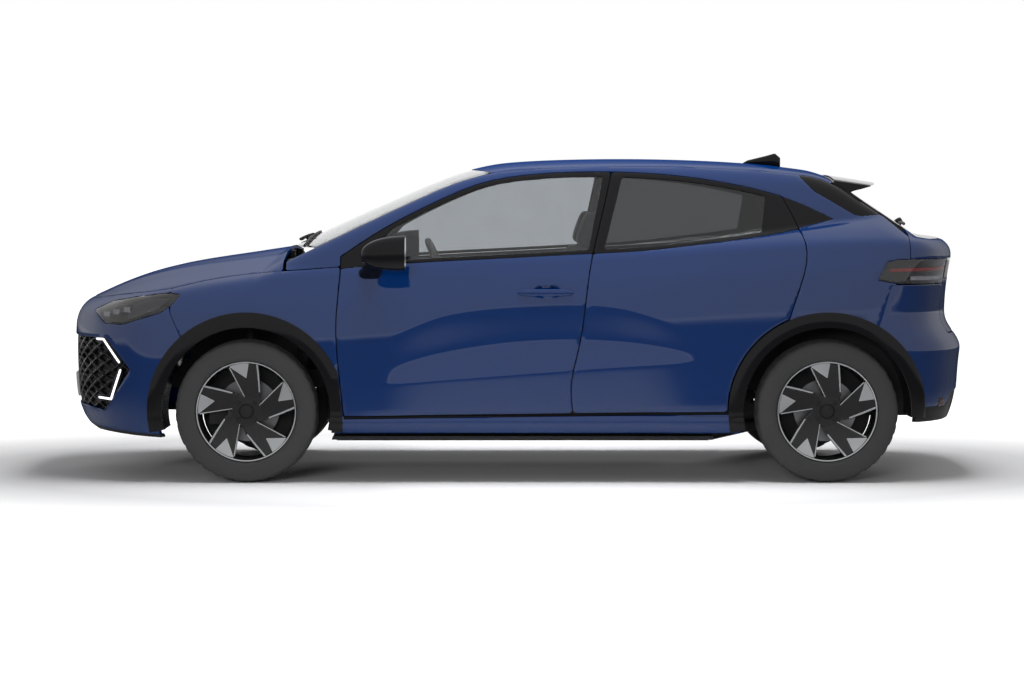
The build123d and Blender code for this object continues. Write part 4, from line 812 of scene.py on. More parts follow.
def door_panels(outline, window, x0, x1, arch, cup):
    """Skin, frame, glass and inner card of one right-hand door."""
    x, z = side_grid(x0, x1, 10.5)

    def edge(u, v, inset=HALF_GAP):
        field = distance_to(outline, u, v) + inset
        return all_of(field, outside_arch(REAR_AXLE, u, v, ARCH_OUTER + 5)) if arch else field

    skin_part = panel(from_side, x, z, lambda u, v: all_of(edge(u, v), v - belt(u) + 4), wall=24, relief=cup)
    frame_part = panel(from_side, x, z, lambda u, v: all_of(edge(u, v), belt(u) - v - 2,
                                                            -distance_to(window, u, v)), depth=1.5, wall=26)
    pane = panel(from_side, x, z, lambda u, v: distance_to(window, u, v) - 5, depth=6, wall=4, roll=0)
    card = panel(from_side, x[::2, ::2], z[::2, ::2],
                 lambda u, v: all_of(edge(u, v, 40.0), v - belt(u) + 12), depth=28, wall=62, roll=8)
    return skin_part, frame_part, pane, card


def bar_along(path, across, up, half_w, half_h, power=2.6, ring=20):
    """A rounded bar: superellipse rings of half sizes half_w, half_h along a path, capped at its ends."""
    t = np.linspace(0, 2 * np.pi, ring, endpoint=False)
    c, s = np.cos(t), np.sin(t)
    a = np.sign(c) * np.abs(c) ** (2 / power)
    b = np.sign(s) * np.abs(s) ** (2 / power)
    rings = path[:, None] + (half_w[:, None] * a)[..., None] * across + (half_h[:, None] * b)[..., None] * up
    return capped(rings)


def handle_bar():
    """The front handle: a lens-shaped bar over the cup, with two feet."""
    s = np.linspace(-1, 1, 25)
    x = HANDLE[0] + HANDLE_HALF * s
    swell = np.sqrt(np.clip(1 - s**6, 0, 1))
    y = side_y(x, np.full(x.shape, HANDLE[1])) + 13 - 8 * s**4
    path = np.stack([x, y, np.full(x.shape, HANDLE[1])], -1)
    bar = bar_along(path, ACROSS, UP, 7 * swell + 0.8, 15 * swell + 0.8)
    feet = []
    for centre in (-96.0, 100.0):
        spot = HANDLE[0] + centre
        deep = float(side_y(spot, HANDLE[1]))
        steps = np.linspace(deep - 5, deep + 11, 5)
        foot = np.stack([np.full(5, spot), steps, np.full(5, HANDLE[1])], -1)
        feet.append(bar_along(foot, ALONG, UP, np.full(5, 18.0), np.full(5, 9.0)))
    return [bar, *feet]


door_shapes = {
    "front": door_panels(FRONT_DOOR, FRONT_WINDOW, -815, 440, False, handle_cup),
    "rear": door_panels(REAR_DOOR, REAR_WINDOW, 235, 1305, True, None),
}
door_glass = {"front": front_glass, "rear": rear_glass_tint}
handle_shells = handle_bar()
for end, (skin_part, frame_part, pane, card) in door_shapes.items():
    for side, turn in SIDES:
        body = f"{end}_door_{side}"
        extra = handle_shells if end == "front" else []
        piece(body + ".skin", body, [turn(s) for s in [skin_part, *extra]], [paint], [body])
        piece(body + ".frame", body, [turn(frame_part)], [gloss_black])
        piece(body + ".pane", body, [turn(pane)], [door_glass[end]], [f"{end}_door_glass_{side}"])
        piece(body + ".card", body, [turn(card)], [dash_plastic])
print("doors:", sum(len(o.data.polygons) for o in made), "faces")

# %% [markdown]
# ## Body sides, roof and windscreen
# The roof rail, pillars and rear quarter are one pressing on the real car. Seen from a line along the car,
# that whole strip is a plain sheet of x and angle, so it is cut out in one go: outside doors, lamps and arch.

# %% Body sides
def body_side_field(x, y, z):
    """Negative on the painted rail, pillars and quarter panel of the right-hand side."""
    doors = all_of(HALF_GAP - distance_to(FRONT_DOOR, x, z), HALF_GAP - distance_to(REAR_DOOR, x, z))
    front = np.where(x < -780, (np.minimum(bonnet_edge(x), belt(x) + 12) + 2 - z), -99)
    bumper = read_off(REAR_BUMPER_SPLIT + REAR_LAMP_STEP, z)
    return all_of(doors, front, -1030 - x, x - np.where(z < 884, bumper, 1755.0), roof_half(x) + 2 - y,
                  2 - distance_to(TAIL_LAMP, x, z), outside_arch(REAR_AXLE, x, z),
                  np.where(x > 1440, gate_half(x) + HALF_GAP - y, -99), np.where(x < 1000, 330, 226) - z)


BLADE_ZONE = [(1284, 1366), (1345, 1302), (1524, 1197), (1560, 1190), (1700, 1200), (1700, 1420),
              (1284, 1420)]
GATE_PLAN = [(1440, 528), (1600, 540), (1700, 552), (1760, 562), (1800, 585), (1840, 603), (2200, 603)]


def gate_half(x):
    return read_off(GATE_PLAN, x)


long_x, long_angle = even_grid(-1035, 1765, -0.95, 1.42, 250, 140)
side_test = seen_as(from_long_line, lambda x, y, z: all_of(
    body_side_field(x, y, z), 1 - distance_to(QUARTER_TRIM, x, z), 1 - distance_to(BLADE_ZONE, x, z)))
rail = panel(from_long_line, long_x, long_angle, side_test, wall=26)
trim_test = seen_as(from_long_line, lambda x, y, z: all_of(
    body_side_field(x, y, z), distance_to(QUARTER_TRIM, x, z) - 4))
blade_test = seen_as(from_long_line, lambda x, y, z: all_of(
    body_side_field(x, y, z), distance_to(BLADE_ZONE, x, z) - 3))
blade_x, blade_angle = even_grid(1275, 1730, 0.5, 1.42, 120, 110)
blade_zone = panel(from_long_line, blade_x, blade_angle, blade_test, depth=1.2, wall=22)
quarter_x, quarter_angle = even_grid(1150, 1460, 0.2, 1.2, 60, 80)
quarter = panel(from_long_line, quarter_x, quarter_angle, trim_test, depth=2.5, wall=20)
sill_x, sill_z = side_grid(-800, 1010)
sill = panel(from_side, sill_x, sill_z, lambda x, z: all_of(
    222 - z, z - 294 - 0.012 * x, outside_arch(FRONT_AXLE, x, z), outside_arch(REAR_AXLE, x, z)), wall=40)
inner_x, inner_z = side_grid(-850, 1330, 24.0)
flange = panel(from_side, inner_x, inner_z, lambda x, z: all_of(
    225 - z, z - window_top(x) - 20, -830 - x, x - 1320,
    -(distance_to(FRONT_DOOR, x, z) + 20), -(distance_to(REAR_DOOR, x, z) + 20),
    outside_arch(REAR_AXLE, x, z), outside_arch(FRONT_AXLE, x, z)), depth=34, wall=50, roll=0)
for side, turn in SIDES:
    name = f"body_side_{side}"
    piece(name + ".skin", "body", [turn(rail), turn(sill)], [paint], [name])
    piece(name + ".quarter_trim", "body", [turn(quarter), turn(blade_zone)], [gloss_black])
    piece(name + ".flange", "body", [turn(flange)], [satin_black])
print("body sides:", len(rail[0]), "points each")

# %% Roof and windscreen
roof_x, roof_y = even_grid(-230, 1440, -640, 640, 76, 60)
roof = panel(from_above, roof_x, roof_y, lambda x, y: all_of(
    np.abs(y) - roof_half(x) + 1, swept(HEADER, y) + 2 - x, x - 1435), wall=24)
piece("roof_panel.skin", "body", [roof], [paint], ["roof_panel"])
screen_x, screen_y = even_grid(-1035, -90, -760, 760, 56, 84)
screen = panel(from_above, screen_x, screen_y, lambda x, y: all_of(
    np.abs(y) - roof_half(x) + 2, swept(SCREEN_BASE, y) - x, x - swept(HEADER, y)), depth=3, wall=6, roll=0)
piece("windscreen.pane", "body", [screen], [front_glass], ["windscreen"])
border = panel(from_above, screen_x, screen_y, lambda x, y: all_of(
    np.abs(y) - roof_half(x) + 2, swept(SCREEN_BASE, y) - x, x - swept(HEADER, y) + 2,
    np.minimum.reduce([roof_half(x) - 40 - np.abs(y), x - swept(SCREEN_BASE, y) - 60,
                       swept(HEADER, y) - 45 - x])), depth=9.5, wall=1.5, roll=0)
piece("windscreen.border", "body", [border], [gloss_black])
liner_x, liner_y = even_grid(-180, 1420, -600, 600, 60, 40)
liner = panel(from_above, liner_x, liner_y, lambda x, y: all_of(
    np.abs(y) - roof_half(x) + 30, swept(HEADER, y) + 30 - x, x - 1400), depth=26, wall=6, roll=0)
piece("headliner", "body", [liner], [headliner])

# %% [markdown]
# ## Bonnet and front wings
# The bonnet is seen from above and the wings from the side. Their common edge is the same line in both views.

# %% Bonnet and wings
bonnet_x, bonnet_y = even_grid(-2030, -1040, -830, 830, 84, 126)


def bonnet_pressing(x, y):
    """Two soft folds that run back over the bonnet."""
    fold = np.abs(y) - (330 + 0.16 * (x + 2000))
    return -4.0 * np.exp(-((fold / 60) ** 2)) * ramp(x, -1980, -1700)


bonnet = panel(from_above, bonnet_x, bonnet_y, seen_as(from_above, bonnet_field), wall=18,
               relief=bonnet_pressing)
piece("bonnet.skin", "bonnet", [bonnet], [paint], ["bonnet"])
wing_x, wing_z = side_grid(-1590, -760, 12.0)


def wing_field(x, z):
    split = read_off(BUMPER_SPLIT, z)
    return all_of(np.minimum(bonnet_edge(x), belt(x) + 12) * -1 + z + HALF_GAP,
                  np.where(z > BUMPER_FOOT - 5, split + 2 - x, -1380 - x),
                  HALF_GAP - distance_to(FRONT_DOOR, x, z), outside_arch(FRONT_AXLE, x, z),
                  1.5 - distance_to(HEADLAMP, x, z), 224 - z, x + 768)


wing = panel(from_side, wing_x, wing_z, wing_field, wall=22)
piece("front_fenders.skin", "body", both(wing), [paint], ["front_fenders"])
print("bonnet and wings:", len(bonnet[0]), len(wing[0]))

# %% [markdown]
# ## Nose: bumper, headlamps, grille and running lights
# The nose wraps round in plan, so it is seen from an upright line just ahead of the front axle. The headlamp
# is a smoked lens over a dark housing. The grille is a lattice whose ends are half diamonds edged with thin
# light strips.

# %% Front bumper
def near_line(points, x, z):
    """Distance to an open line of straight runs."""
    a = np.array(points, float)
    edge = np.diff(a, axis=0)
    du, dv = x[..., None] - a[:-1, 0], z[..., None] - a[:-1, 1]
    t = np.clip((du * edge[:, 0] + dv * edge[:, 1]) / (edge * edge).sum(1), 0, 1)
    return np.hypot(du - t * edge[:, 0], dv - t * edge[:, 1]).min(-1)


def bumper_field(x, y, z):
    split = np.where(z > BUMPER_FOOT, read_off(BUMPER_SPLIT, z), FRONT_AXLE)
    foot = read_off(CHIN_LINE, x)
    return all_of(4 - bonnet_field(x, y, z), 1.5 - distance_to(HEADLAMP, x, z), 2 - distance_to(GRILLE, x, z),
                  x - split + 1.5, outside_arch(FRONT_AXLE, x, z), foot - z)


nose_a, nose_z = even_grid(math.pi - 1.34, math.pi + 1.34, 207, 905, 184, 66)
bumper = panel(from_nose, nose_a, nose_z, seen_as(from_nose, bumper_field), wall=26)
piece("front_bumper.skin", "body", [bumper], [paint], ["front_bumper"])


def chin_field(x, y, z):
    foot = read_off(CHIN_LINE, x)
    return all_of(foot - 14 - z, z - foot - 3, x + 1250, outside_arch(FRONT_AXLE, x, z))


chin_a, chin_z = even_grid(math.pi - 1.34, math.pi + 1.34, 190, 292, 200, 22)
chin = panel(from_nose, chin_a, chin_z, seen_as(from_nose, chin_field), depth=4, wall=40)
piece("front_bumper.chin", "body", [chin], [satin_black])

# %% Grille lattice and running lights
LATTICE, LATTICE_DEPTH, NOSE_RADIUS = (46.0, 25.0), 16.0, 800.0


def lattice(angle, z):
    """Deep cells between crossing bars: the nearest bar of two slanted families sets the height."""
    s = (angle - math.pi) * NOSE_RADIUS
    first = np.abs((s / LATTICE[0] + z / LATTICE[1]) % 2 - 1)
    second = np.abs((s / LATTICE[0] - z / LATTICE[1]) % 2 - 1)
    return LATTICE_DEPTH * (1 - ramp(np.maximum(first, second), 0.62, 0.82))


grille_a, grille_z = even_grid(math.pi - 1.05, math.pi + 1.05, 308, 648, 310, 60)
grille = panel(from_nose, grille_a, grille_z, seen_as(
    from_nose, lambda x, y, z: distance_to(GRILLE, x, z) + 2), depth=9, wall=24, roll=0, relief=lattice)
piece("front_grille.lattice", "body", [grille], [gloss_black], ["front_grille"], sharp=50)
STRIPS = [[(-1892, 636), (-1858, 636), (-1780, 536)], [(-1774, 500), (-1822, 368), (-1883, 372)]]
strip_a, strip_z = even_grid(math.pi - 1.0, math.pi + 1.0, 350, 650, 400, 90)


def strip_field(width):
    return seen_as(from_nose, lambda x, y, z: np.minimum(*[near_line(s, x, z) for s in STRIPS]) - width)


strip_bed = panel(from_nose, strip_a, strip_z, strip_field(15.0), depth=3, wall=22)
strip = panel(from_nose, strip_a, strip_z, strip_field(5.0), depth=0.5, wall=3)
piece("front_grille.strip_bed", "body", [strip_bed], [gloss_black])
piece("front_grille.running_lights", "body", [strip], [running_light])

# %% Headlamps
lamp_a, lamp_z = even_grid(math.pi - 1.3, math.pi - 0.6, 690, 860, 90, 34)


def lamp_field(inset):
    return seen_as(from_nose, lambda x, y, z: all_of(
        distance_to(HEADLAMP, x, z) + inset, 4 - bonnet_field(x, y, z)))


lens = panel(from_nose, lamp_a, lamp_z, lamp_field(1.0), depth=0.5, wall=4)


def lamp_steps(angle, z):
    """Steps across the housing, like the folds of a reflector."""
    return 9 * ((angle * 9) % 1) + 5 * ((z / 34) % 1)


housing = panel(from_nose, lamp_a, lamp_z, lamp_field(5.0), depth=24, wall=12, roll=0, relief=lamp_steps)
FACET = [(-1748, 726), (-1605, 776), (-1552, 822), (-1640, 816), (-1722, 790)]
facet = panel(from_nose, lamp_a, lamp_z, seen_as(
    from_nose, lambda x, y, z: distance_to(FACET, x, z)), depth=14, wall=6)
eyes = []
for eye_x in (-1850.0, -1800.0, -1750.0):
    eye_z = 748.0 + 0.22 * (eye_x + 1850)
    eye_grid = even_grid(math.pi - 1.3, math.pi - 0.6, eye_z - 20, eye_z + 20, 150, 18)
    eyes.append(panel(from_nose, *eye_grid, seen_as(from_nose, lambda x, y, z: np.maximum(
        np.abs(x - eye_x) - 15, np.abs(z - eye_z) - 11)), depth=12, wall=8))
piece("headlamps.lens", "body", both(lens), [lens_dark], ["headlamps"])
piece("headlamps.housing", "body", both(housing), [lamp_dark])
piece("headlamps.facets", "body", both(facet), [disc_steel])
piece("headlamps.eyes", "body", [s for eye in eyes for s in both(eye)], [bright_trim])
print("nose:", len(bumper[0]), len(grille[0]), len(lens[0]))

# %% [markdown]
# ## Tail: bumper, lamps, corners
# The tail is seen from an upright line ahead of the rear axle. The lamps are smoked, with a red strip inside.

# %% Rear bumper
GATE_SIDE, GATE_FOOT = 608.0, 657.5


def off_gate(y, z):
    """Positive (cut away) where the tailgate is."""
    return -np.maximum(np.abs(y) - GATE_SIDE, GATE_FOOT - z)


def rear_bumper_field(x, y, z):
    split = read_off(REAR_BUMPER_SPLIT, z)
    return all_of(split + 1.5 - x, z - 882, 268 - z, off_gate(y, z), outside_arch(REAR_AXLE, x, z),
                  1.5 - distance_to(TAIL_LAMP, x, z))


def diffuser_edge(y):
    return 395 - 60 * ramp(np.abs(y), 560, 700)


tail_a, tail_z = even_grid(-1.31, 1.31, 226, 890, 164, 62)
rear_bumper = panel(from_tail, tail_a, tail_z, seen_as(
    from_tail, lambda x, y, z: all_of(rear_bumper_field(x, y, z), diffuser_edge(y) + 1 - z)), wall=26)
diffuser = panel(from_tail, tail_a, tail_z, seen_as(
    from_tail, lambda x, y, z: all_of(rear_bumper_field(x, y, z), z - diffuser_edge(y) + 1)),
    depth=4, wall=24, relief=lambda a, z: 6 * ramp(np.cos(a * 46), 0.3, 0.9) * (np.abs(a) < 0.72))
piece("rear_bumper.skin", "body", [rear_bumper], [paint], ["rear_bumper"])
piece("rear_bumper.diffuser", "body", [diffuser], [satin_black])
REFLECTOR = [(1893, 332), (1930, 338), (1926, 372), (1897, 372)]
reflector = panel(from_tail, *even_grid(0.5, 1.2, 325, 380, 120, 20), seen_as(
    from_tail, lambda x, y, z: distance_to(REFLECTOR, x, z)), depth=-2, wall=10)
piece("rear_bumper.reflectors", "body", both(reflector), [lens_red])

# %% Tail lamps and corners
rear_lamp_a, rear_lamp_z = even_grid(0.55, 1.31, 880, 1005, 84, 28)
rear_lamp_test = seen_as(from_tail, lambda x, y, z: all_of(distance_to(TAIL_LAMP, x, z) + 1, off_gate(y, z)))
rear_lens = panel(from_tail, rear_lamp_a, rear_lamp_z, rear_lamp_test, depth=0.5, wall=4)
rear_housing = panel(from_tail, rear_lamp_a, rear_lamp_z, rear_lamp_test, depth=24, wall=12, roll=0)
rear_strip = panel(from_tail, rear_lamp_a, rear_lamp_z, seen_as(from_tail, lambda x, y, z: all_of(
    np.abs(z - 948 - 0.02 * (x - 1700)) - 7, 1668 - x, off_gate(y, z))), depth=12, wall=8)
clear_bit = panel(from_tail, rear_lamp_a, rear_lamp_z, seen_as(from_tail, lambda x, y, z: all_of(
    np.abs(z - 912) - 9, 1760 - x, off_gate(y, z))), depth=10, wall=8)
corner_x, corner_angle = even_grid(1750, 1995, 0.28, 1.35, 34, 80)
rear_corner = panel(from_long_line, corner_x, corner_angle, seen_as(from_long_line, lambda x, y, z: all_of(
    1757 - x, 1.5 - distance_to(TAIL_LAMP, x, z), 1001 - z, gate_half(x) + HALF_GAP - y)), wall=24)
piece("tail_lamps.lens", "body", both(rear_lens), [lens_dark], ["tail_lamps"])
piece("tail_lamps.housing", "body", both(rear_housing), [lamp_dark])
piece("tail_lamps.strip", "body", both(rear_strip), [tail_light])
piece("tail_lamps.clear", "body", both(clear_bit), [bright_trim])
piece("rear_corners.skin", "body", both(rear_corner), [paint], ["rear_corners"])
print("tail:", len(rear_bumper[0]), len(rear_lens[0]))

# %% [markdown]
# ## Tailgate
# Seen from a line across the car, the tailgate is one sheet of angle and width: painted below, gloss black
# round its glass. The spoiler is a thin wing over the glass, with an upright blade under each end.

# %% Tailgate skin, glass and lamps
GATE_BELT = 1085.0
GLASS_PLAN = [(1476, 450), (1600, 480), (1700, 515), (1850, 545)]


def gate_field(x, y, z):
    pocket = np.maximum.reduce([430 - np.abs(y), np.abs(y) - 596, 905 - z, z - 1000])
    return all_of(np.abs(y) - gate_half(x), 662.5 - z, 1440 - x, 1.0 - pocket)


def glass_field(x, y, z):
    return all_of(1476 - x, x - 1850, np.abs(y) - read_off(GLASS_PLAN, x), GATE_BELT - z)


gate_a, gate_y = even_grid(-0.07, 1.33, -606, 606, 84, 100)
gate_low = panel(from_cross_line, gate_a, gate_y, seen_as(
    from_cross_line, lambda x, y, z: all_of(gate_field(x, y, z), z - GATE_BELT + 3)), wall=30)
gate_high = panel(from_cross_line, gate_a, gate_y, seen_as(from_cross_line, lambda x, y, z: all_of(
    gate_field(x, y, z), GATE_BELT - z, -glass_field(x, y, z))), wall=40)
gate_pane = panel(from_cross_line, gate_a, gate_y, seen_as(
    from_cross_line, lambda x, y, z: glass_field(x, y, z) - 4), depth=3, wall=5, roll=0)
gate_lamp_test = seen_as(from_cross_line, lambda x, y, z: np.maximum.reduce(
    [431 - np.abs(y), np.abs(y) - 595, 906 - z, z - 999, 1700 - x]))
lamp_grid = even_grid(0.05, 0.6, -606, 606, 60, 240)
gate_lens = panel(from_cross_line, *lamp_grid, gate_lamp_test, depth=0.5, wall=4)
gate_lamp_back = panel(from_cross_line, *lamp_grid, gate_lamp_test, depth=18, wall=6, roll=0)
gate_strip = panel(from_cross_line, *lamp_grid, seen_as(from_cross_line, lambda x, y, z: np.maximum.reduce(
    [434 - np.abs(y), np.abs(y) - 592, np.abs(z - 950) - 7, 1700 - x])), depth=10, wall=6)
piece("tailgate.skin", "tailgate", [gate_low], [paint], ["tailgate"])
piece("tailgate.frame", "tailgate", [gate_high], [gloss_black])
piece("tailgate.pane", "tailgate", [gate_pane], [rear_glass_tint], ["tailgate_glass"])
piece("tailgate_lamps.lens", "tailgate", [gate_lens], [lens_dark], ["tailgate_lamps"])
piece("tailgate_lamps.housing", "tailgate", [gate_lamp_back], [lamp_dark])
piece("tailgate_lamps.strip", "tailgate", [gate_strip], [tail_light])

# %% Spoiler
WING_FRONT, WING_LENGTH, WING_HALF, WING_FALL = 1446.0, 218.0, 522.0, 0.155
BLADE_OUTER, BLADE_THICK, BLADE_FOOT = 519.0, 22.0, 508.0
WING_EDGE = 16.0


def wing_top(x, y):
    return float(roof_line(WING_FRONT)) - 8 - WING_FALL * (x - WING_FRONT) - crowned(ROOF_CROWN, y)


def blade_shell():
    """The upright blade that closes the gap between the wing's end and the tailgate, its rear edge curved."""
    s, t = even_grid(0, 1, 0, 1, 30, 16)
    x = WING_FRONT + (76 + 84 * t * t) * s
    low = top_z(x, 0 * x + BLADE_FOOT) - 5
    z = low + np.maximum(wing_top(x, BLADE_FOOT) - 10 - low, 1) * t
    outer = np.stack([x, 0 * x + BLADE_OUTER, z], -1)
    inner = np.stack([x, BLADE_OUTER - BLADE_THICK * (1 - 0.6 * s), z], -1)
    return capped(np.concatenate([outer, inner[:, ::-1]], 1))


def spoiler_shell():
    """A thin wing: a top sheet over x and width, thinner towards its rear edge, its sides turned down."""
    s, t = even_grid(0, 1, -1, 1, 26, 60)
    x = WING_FRONT + WING_LENGTH * s * (1 - 0.25 * np.abs(t) ** 3)
    y = WING_HALF * t
    z = wing_top(x, y)
    edge = WING_EDGE * np.clip(np.minimum(1 - np.abs(t), 0.03) / 0.03, 0, 1) ** 0.5
    upper = np.stack([x, y, z - 3 * np.abs(t) ** 8 - (WING_EDGE - edge) * 0.4], -1)
    lower = np.stack([x, y, z - 4 - 12 * (1 - s) ** 0.6 * np.clip(edge / WING_EDGE, 0.2, 1)], -1)
    flat, faces = mesh_grid(upper)
    return walled(flat, lower.reshape(-1, 3), faces)


piece("spoiler.wing", "tailgate", [spoiler_shell(), *both(blade_shell())], [gloss_black], ["spoiler"])

# %% [markdown]
# ## Wheels
# Each rim has five slanting blades like a turbine's. A blade is black with a turned bright line along each
# side and a bright triangle where it meets the rim. In the wheel's own plane the outlines are polygons, so
# the same cutting tool makes them. The tyre is a profile turned about the axle.

# %% Tyres
RING, SLOT_COUNT, SLOT_DEPTH = 144, 36, 3.5


def turned(profile, count=RING, wave=None):
    """A closed profile of (radius, across) points turned about Y; wave(theta, k) lowers the radius."""
    theta = np.linspace(0, 2 * np.pi, count, endpoint=False)[:, None]
    r, y = (np.array(c, float)[None] for c in zip(*profile))
    r = r - (wave(theta, np.arange(r.shape[1])[None]) if wave else 0)
    points = np.stack([r * np.sin(theta), y + 0 * theta, r * np.cos(theta)], -1)
    flat, faces = mesh_grid(points, close_u=True, close_v=True)
    middle = points.mean(1, keepdims=True)
    first = faces[0][:, 0]
    out = flat[first] - np.broadcast_to(middle, points.shape).reshape(-1, 3)[first]
    if np.sum(face_normals(flat, faces) * out) < 0:
        faces = [f[:, ::-1] for f in faces]
    return flat, faces


def tyre_profile():
    """Half a section from bead to tread, with grooves, mirrored to the other side of the middle."""
    half = [(226.3, 88), (232, 95), (244, 99), (262, 101.5), (280, 102.3), (296, 100), (306, 95), (312, 88),
            (315.5, 78), (317.5, 62), (317.8, 52), (311, 50), (311, 43), (318.2, 41), (318.4, 14), (311, 12),
            (311, 4), (318.5, 2)]
    return half + [(r, -y) for r, y in half[::-1]]


def tread_wave(theta, k):
    """Narrow slots across the tread's shoulders, as part of the radius."""
    shoulder = ((k >= 7) & (k <= 10)) | ((k >= 25) & (k <= 28))
    return SLOT_DEPTH * shoulder * ((theta * SLOT_COUNT / np.pi) % 2 < 0.5)


tyre = turned(tyre_profile(), wave=tread_wave)


# %% Rim, blades, disc and bolts
FACE_HUB, FACE_HOLLOW = 66.0, (19.0, 219.0)
BLADES, BOLTS, BOLT_CIRCLE = 5, 4, 50.0


def wheel_face(u, w):
    """The blades' front: hollowed towards the hub; u and w are along and up from the axle."""
    r = np.hypot(u, w)
    base = np.stack([u, FACE_HUB + crowned(FACE_HOLLOW, r), w], -1)
    return base, np.broadcast_to(np.array([0.0, 1.0, 0.0]), base.shape)


def polar(r, degrees):
    return (r * math.sin(math.radians(degrees)), r * math.cos(math.radians(degrees)))


def arc(r0, a0, r1, a1, count=7):
    return [polar(r, a) for r, a in zip(np.linspace(r0, r1, count), np.linspace(a0, a1, count))]


BLADE = [*arc(216, -21.7, 219, 14.9), polar(160, 22.5), polar(104, 37.4), polar(66, 58), polar(60, 20),
         polar(62, -9)]
FACET_BRIGHT = [*arc(214.5, -20.8, 217.5, 3.2), polar(148, 0.3)]
EDGE_LINE = [polar(217, 14.2), polar(160, 21.6), polar(105, 36.0), polar(102, 33.0), polar(158, 18.9),
             polar(217, 12.1)]
LEFT_LINE = [polar(209, -21.4), polar(206, -19.9), polar(66, -6.5), polar(63, -8.6)]


def turned_by(outline, degrees):
    c, s = math.cos(math.radians(degrees)), math.sin(math.radians(degrees))
    return [(u * c + w * s, w * c - u * s) for u, w in outline]


def grid_over(outline, cells, margin=12):
    """A grid that just covers an outline in the wheel's plane."""
    u, w = zip(*outline)
    return even_grid(min(u) - margin, max(u) + margin, min(w) - margin, max(w) + margin, cells, cells)


def on_face(outline, cells, depth, wall, roll):
    return panel(wheel_face, *grid_over(outline, cells), lambda u, w: distance_to(outline, u, w),
                 depth=depth, wall=wall, roll=roll)


black_shells, bright_shells = [], []
for i in range(BLADES):
    spin = 360.0 / BLADES * i
    black_shells.append(on_face(turned_by(BLADE, spin), 44, 0, 24, 2.5))
    bright_shells += [on_face(turned_by(shape, spin), cells, -0.8, 3, 0.6)
                      for shape, cells in ((FACET_BRIGHT, 32), (EDGE_LINE, 60), (LEFT_LINE, 60))]
hub = turned([(2, 40), (74, 40), (74, 62), (66, 68), (34, 69), (32, 62), (2, 62)], 64)
cap = turned([(1, 58), (29, 58), (29, 66), (26, 69), (14, 71.5), (1, 72)], 48)
barrel = turned([(226, -89), (226, 89), (222.5, 90.5), (217.5, 88), (213, 80), (207, 60), (206, 20),
                 (208, -40), (216, -80), (221, -89)], 120)
lip = turned([(217.4, 88.2), (222.4, 90.8), (222.8, 89.2), (218, 86.6)], 120)
disc = turned([(30, -39.5), (74, -39.5), (74, -37), (140, -37), (140, -28), (136, -27), (136, -25),
               (140, -24), (140, -15.5), (74, -15.5), (74, 30), (30, 30)], 96)
hexagon = np.linspace(0, 2 * np.pi, 6, endpoint=False)
BOLT_RINGS = [(12.5, 60), (12.5, 68), (9, 69), (9, 76), (7, 78)]
bolts = []
for i in range(BOLTS):
    u, w = polar(BOLT_CIRCLE, 45 + 90 * i)
    bolts.append(capped(np.stack([
        np.stack([u + r * np.cos(hexagon), np.full(6, y), w + r * np.sin(hexagon)], -1)
        for r, y in BOLT_RINGS])))


def placed(shell, x, y, z):
    points, faces = shell
    return points + np.array([x, y, z]), faces


for end, axle in (("front", FRONT_AXLE), ("rear", REAR_AXLE)):
    for side, turn in SIDES:
        body = f"{end}_wheel_{side}"
        spot = (axle, WHEEL_Y, WHEEL_Z)
        shells = [(s, 0) for s in [*black_shells, hub, barrel]] + [(s, 1) for s in [*bright_shells, lip]]
        shells += [(disc, 2)] + [(s, 3) for s in [cap, *bolts]]
        piece(f"{end}_rim_{side}.wheel", body, [turn(placed(s, *spot)) for s, _ in shells],
              [wheel_black, turned_alloy, disc_steel, satin_black], [f"{end}_rim_{side}"],
              pick=[n for _, n in shells])
        piece(f"{end}_tyre_{side}.tyre", body, [turn(placed(tyre, *spot))], [rubber],
              [f"{end}_tyre_{side}"], sharp=40)


# %% Brake shields, grown into painted shade behind the spokes
ARM_GAP = math.radians(36)


def dished(profile, count=96):
    """A plate's profile carried round the axle, open at the bottom where the lower arm reaches the wheel."""
    theta = np.linspace(ARM_GAP - np.pi, np.pi - ARM_GAP, count)[:, None]
    r, y = (np.array(c, float)[None] for c in zip(*profile))
    return capped(np.stack([r * np.sin(theta), y + 0 * theta, r * np.cos(theta)], -1))


# The plate is a brake shield grown out to the rim's barrel, far past the disc: a dark sheet that is painted
# shade behind the spokes, where the wheel's inside lies open.
shield_and_shade = dished([(60, -66), (204, -66), (204, -30), (201, -30), (201, -62), (60, -62)])
for side, turn in SIDES:
    for axle, body in ((FRONT_AXLE, f"knuckle_{side}"), (REAR_AXLE, "body")):
        piece(f"brake_shield_{'front' if axle < 0 else 'rear'}_{side}", body,
              [turn(placed(shield_and_shade, axle, WHEEL_Y, WHEEL_Z))], [cast_iron])
print("wheel faces:", sum(len(o.data.polygons) for o in made if "_rim_" in o.name) // 4)

# %% [markdown]
# ## Wheel-arch trims
# A gloss black band follows each arch: one closed section carried round the arch, lying on the skin.

# %% Arch trims
TRIM_SECTION = [(373, -250), (373, -120), (373, -40), (373, 5), (376, 8.5), (402, 10), (436, 9), (442, 6),
                (ARCH_OUTER, 0), (438, -2), (402, -2), (380, -4), (377, -40), (377, -120), (377, -250)]
FRONT_FOOT, FRONT_TAIL, REAR_TAIL = 192.4, -12.4, -4.0


def arch_band(axle, edge, tail):
    """The trim's section carried round an arch, from its tail's angle to its front foot, up to edge(z)."""
    theta = np.radians(np.linspace(tail, FRONT_FOOT, 110))[:, None]
    r, out = (np.array(c, float)[None] for c in zip(*TRIM_SECTION))
    z = WHEEL_Z + r * np.sin(theta)
    x = np.minimum(axle + r * np.cos(theta), edge(z))
    return capped(np.stack([x, side_y(x, z) + out, z], -1))


